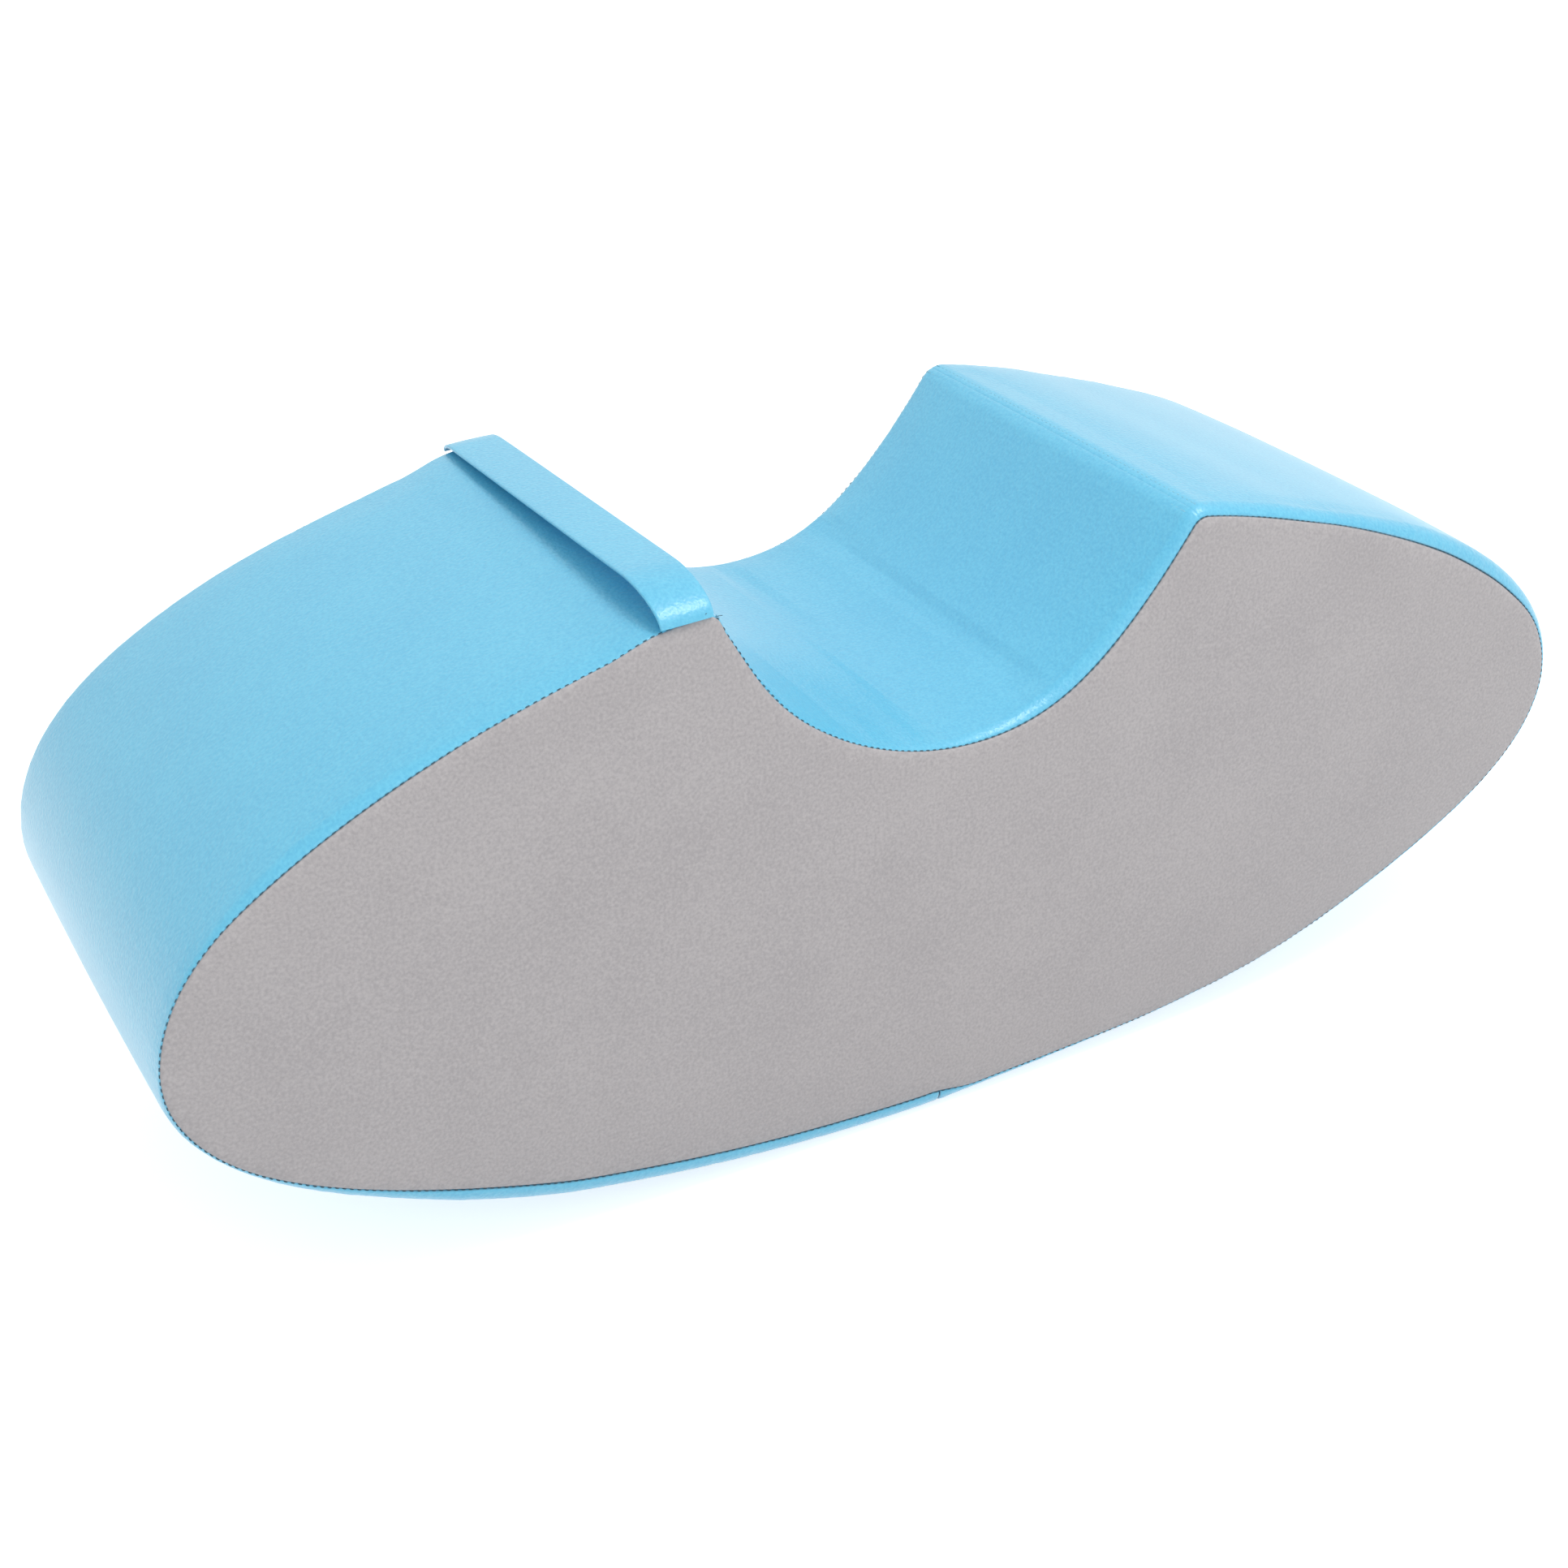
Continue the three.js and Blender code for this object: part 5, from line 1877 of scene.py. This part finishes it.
@dataclass(frozen=True)
class SolidFinish:
    """A moulded, cast or cut material with a fine surface noise in its colour, gloss and height."""

    name: str
    colour: str
    roughness: float
    metallic: float = 0.0
    grain: float = 0.8
    depth: float = 0.02
    shade: float = 0.88
    gloss_spread: float = 0.06

    def material(self) -> bpy.types.Material:
        """Makes the finish from one noise, which shades the colour, varies the gloss and lifts it.

        Returns:
            The material.
        """
        material, tree, output = new_finish(self.name)
        place = add_node(tree, "ShaderNodeTexCoord", {}).outputs["Object"]
        noise = {"Vector": place, "Scale": 1 / (self.grain * MM), "Detail": 4.0}
        grain = add_node(tree, "ShaderNodeTexNoise", noise).outputs["Fac"]
        tint = {"Factor": grain, 6: darker(self.colour, self.shade), 7: linear(self.colour)}
        colour = add_node(tree, "ShaderNodeMix", tint, data_type="RGBA").outputs[2]
        low, high = self.roughness - self.gloss_spread, self.roughness + self.gloss_spread
        gloss = {"Value": grain, "To Min": low, "To Max": high}
        rough = add_node(tree, "ShaderNodeMapRange", gloss).outputs[0]
        relief = {"Height": grain, "Strength": 0.5, "Distance": self.depth * MM}
        bump = add_node(tree, "ShaderNodeBump", relief).outputs[0]
        surface = {"Base Color": colour, "Roughness": rough, "Metallic": self.metallic, "Normal": bump}
        shader = add_node(tree, "ShaderNodeBsdfPrincipled", surface)
        tree.links.new(shader.outputs[0], output.inputs["Surface"])
        return material


# Studio


def put(thing: bpy.types.Object, axes: list[np.ndarray], place: np.ndarray) -> None:
    """Puts a lamp or the camera in the scene.

    Args:
        thing: What is put there.
        axes: The directions of its own x, y and z.
        place: Its place, in metres.
    """
    turned = np.eye(4)
    turned[:3, :3] = np.stack(axes, 1)
    turned[:3, 3] = place
    thing.matrix_world = Matrix(turned.tolist())
    bpy.context.scene.collection.objects.link(thing)


@dataclass(frozen=True)
class Lamp:
    """A soft square lamp that looks at the middle of the object."""

    name: str
    place: tuple[float, float, float]
    size: float
    power: float
    colour: str = "#ffffff"


@dataclass
class Studio:
    """A white floor and backdrop, soft lamps and the photograph's view."""

    target: tuple[float, float, float] = (0.0, 0.0, 0.2)
    floor_radius: float = 14.0
    floor_sides: int = 64
    floor_colour: str = "#e9eaeb"
    floor_glow: float = 0.6
    ambient: float = 0.8
    lamps: tuple[Lamp, ...] = (
        Lamp("overhead", (0.5, -0.8, 2.4), 0.6, 20),
        Lamp("front", (-0.4, -2.6, 1.3), 2.0, 8),
    )
    # The camera that the photograph's outlines give, in millimetres and degrees
    eye: tuple[float, float, float] = (-670.5, -1122.1, 905.9)
    yaw: float = 29.601
    pitch: float = 29.502
    roll: float = 0.269
    focal_pixels: float = 2817.9
    frame_pixels: float = 1932
    sensor: float = 36
    view_end: float = 100.0

    def camera(self) -> None:
        """Places the camera: it looks along yaw from +Y to +X and pitch down, turned by roll."""
        yaw, pitch, roll = (math.radians(angle) for angle in (self.yaw, self.pitch, self.roll))
        ahead = np.array(
            [math.sin(yaw) * math.cos(pitch), math.cos(yaw) * math.cos(pitch), -math.sin(pitch)]
        )
        level = np.array([math.cos(yaw), -math.sin(yaw), 0])
        down = np.cross(ahead, level)
        right = level * math.cos(roll) - down * math.sin(roll)
        down = level * math.sin(roll) + down * math.cos(roll)
        lens = bpy.data.cameras.new("camera")
        lens.sensor_width = self.sensor
        lens.lens = self.sensor * self.focal_pixels / self.frame_pixels
        lens.clip_end = self.view_end
        camera = bpy.data.objects.new("camera", lens)
        put(camera, [right, -down, -ahead], np.array(self.eye) * MM)
        bpy.context.scene.camera = camera

    def floor(self) -> None:
        """Makes the floor: a pale matt disc that glows a little for the eye, and keeps shadows."""
        angle = np.arange(self.floor_sides) * 2 * np.pi / self.floor_sides
        ring = np.stack([np.cos(angle), np.sin(angle), 0 * angle], -1) * self.floor_radius / MM
        material, tree, output = new_finish("painted_backdrop")
        paint = {"Color": linear(self.floor_colour), "Roughness": 0.6}
        matt = add_node(tree, "ShaderNodeBsdfDiffuse", paint).outputs[0]
        seen = self.seen_rays(tree)
        strength = add_node(tree, "ShaderNodeMath", {0: seen, 1: self.floor_glow}, operation="MULTIPLY")
        glow = add_node(tree, "ShaderNodeEmission", {"Strength": strength.outputs[0]}).outputs[0]
        both = add_node(tree, "ShaderNodeAddShader", {0: matt, 1: glow}).outputs[0]
        tree.links.new(both, output.inputs["Surface"])
        floor = make_piece("studio_floor", ring, [np.arange(self.floor_sides)[None]], material)

    def seen_rays(self, tree: bpy.types.NodeTree) -> bpy.types.NodeSocket:
        """1 for the rays that show the backdrop: to the eye, and by way of gloss and glass.

        Args:
            tree: The node tree that gets the nodes.

        Returns:
            The socket that gives it.
        """
        path = add_node(tree, "ShaderNodeLightPath", {})
        total = path.outputs["Is Camera Ray"]
        for name in ("Is Glossy Ray", "Is Transmission Ray"):
            total = add_node(
                tree, "ShaderNodeMath", {0: total, 1: path.outputs[name]}, operation="MAXIMUM"
            ).outputs[0]
        return total

    def sky(self) -> None:
        """Makes the world: white where it is seen, and an even soft light on the object."""
        world = bpy.data.worlds.new("white_room")
        world.use_nodes = True
        tree = world.node_tree
        tree.nodes.clear()
        output = tree.nodes.new("ShaderNodeOutputWorld")
        level = {"Value": self.seen_rays(tree), "To Min": self.ambient, "To Max": 1.0}
        strength = add_node(tree, "ShaderNodeMapRange", level).outputs[0]
        white = {"Color": (1.0, 1.0, 1.0, 1.0), "Strength": strength}
        light = add_node(tree, "ShaderNodeBackground", white).outputs[0]
        tree.links.new(light, output.inputs["Surface"])
        bpy.context.scene.world = world

    def light(self) -> None:
        """Hangs the soft lamps, each turned to the target."""
        for lamp in self.lamps:
            data = bpy.data.lights.new(lamp.name, "AREA")
            data.size = lamp.size
            data.energy = lamp.power
            data.color = linear(lamp.colour)[:3]
            hung = bpy.data.objects.new(lamp.name, data)
            place = np.array(lamp.place)
            back = unit(place - np.array(self.target))
            side = unit(np.cross([0.0, 0.0, 1.0], back))
            put(hung, [side, np.cross(back, side), back], place)

    def build(self) -> None:
        """Sets the whole studio."""
        bpy.context.scene.view_settings.view_transform = "Standard"
        self.camera()
        self.floor()
        self.sky()
        self.light()


@dataclass
class Rocker:
    """The whole dressed rocker."""

    outline: Outline = field(default_factory=lambda: Outline(sag=COVER_SAG, swells=COVER_SWELLS))
    seam: Seam = Seam()
    zip_place: ZipPlace = ZipPlace()
    half_gap: float = 0.02

    def finishes(self) -> dict[str, bpy.types.Material]:
        """Makes every finish, by its use."""
        return {
            "blue": Leatherette(
                "blue_pvc_leatherette", "#5ec1e2", "#4cb4da", specular=0.6, coat=1.0
            ).material(),
            "grey": Leatherette(
                # the last colour is the grey's painted shade in the seam's notch
                "grey_pvc_leatherette", "#b4b0b1", "#a4a0a2", painted_seam_shade="#7b868c"
            ).material(),
            "foam": SolidFinish(
                "cut_polyurethane_foam", "#f0e8d0", 0.95, grain=1.6, depth=0.4
            ).material(),
            "thread": Thread("slate_polyester_thread", "#4a6a7b").material(),
            "light_thread": Thread("pale_polyester_thread", "#9fdcf2").material(),
            "tape": WovenTape("woven_polyester_tape", "#7fb9d2").material(),
            "teeth": SolidFinish("moulded_acetal", "#86c0d8", 0.35, shade=0.94).material(),
            "metal": SolidFinish("satin_zinc_die_cast", "#c3c6ca", 0.32, metallic=1.0).material(),
        }

    def build(self) -> None:
        """Builds every piece in order."""
        finish = self.finishes()
        gusset = Gusset(self.outline, self.seam)
        ridge, base_gap = self.outline.ridge_way, self.half_gap
        whole = 2 * self.outline.half_way
        right = (base_gap, ridge - base_gap, False, True)
        left = (base_gap - ridge, -base_gap, True, False)
        seat = (ridge + base_gap, whole - ridge - base_gap, True, True)
        for name, node, ends in (
            ("right_horn_cover", "horn_panel_right", right),
            ("left_horn_cover", "horn_panel_left", left),
            ("seat_cover", "seat_panel", seat),
        ):
            GussetStrip(name, node, gusset, *ends).build(finish["blue"])
        front = SidePanel(Side.FRONT, gusset, self.zip_place)
        rear = SidePanel(Side.REAR, gusset, self.zip_place)
        front.build("front_side_cover", "side_panel_front", finish["grey"])
        rear.build("rear_side_cover", "side_panel_rear", finish["grey"])
        FoamBody(front, rear).build(finish["foam"])
        CarryStrap(gusset).build(finish["blue"])
        # The slate seam thread's dark dashes in the notch partly stand in for painted shade between the
        # stitches
        SeamThreads(gusset).build("seam_thread_front", Side.FRONT, finish["thread"])
        SeamThreads(gusset).build("seam_thread_rear", Side.REAR, finish["thread"])
        RidgeStitches(gusset).build("ridge_stitches_left", End.LEFT, finish["light_thread"])
        RidgeStitches(gusset).build("ridge_stitches_right", End.RIGHT, finish["light_thread"])
        LooseEnds(gusset).build(finish["thread"])
        dress = ZipDress(self.zip_place, rear)
        dress.tapes(finish["tape"])
        dress.hem_stitches(finish["thread"])
        dress.dress(finish["teeth"], finish["metal"])


def main() -> None:
    """Sets the studio and builds the rocker in it."""
    logging.basicConfig(level=logging.INFO, format="%(name)s: %(message)s")
    Studio().build()
    Rocker().build()


if __name__ == "__main__":
    main()
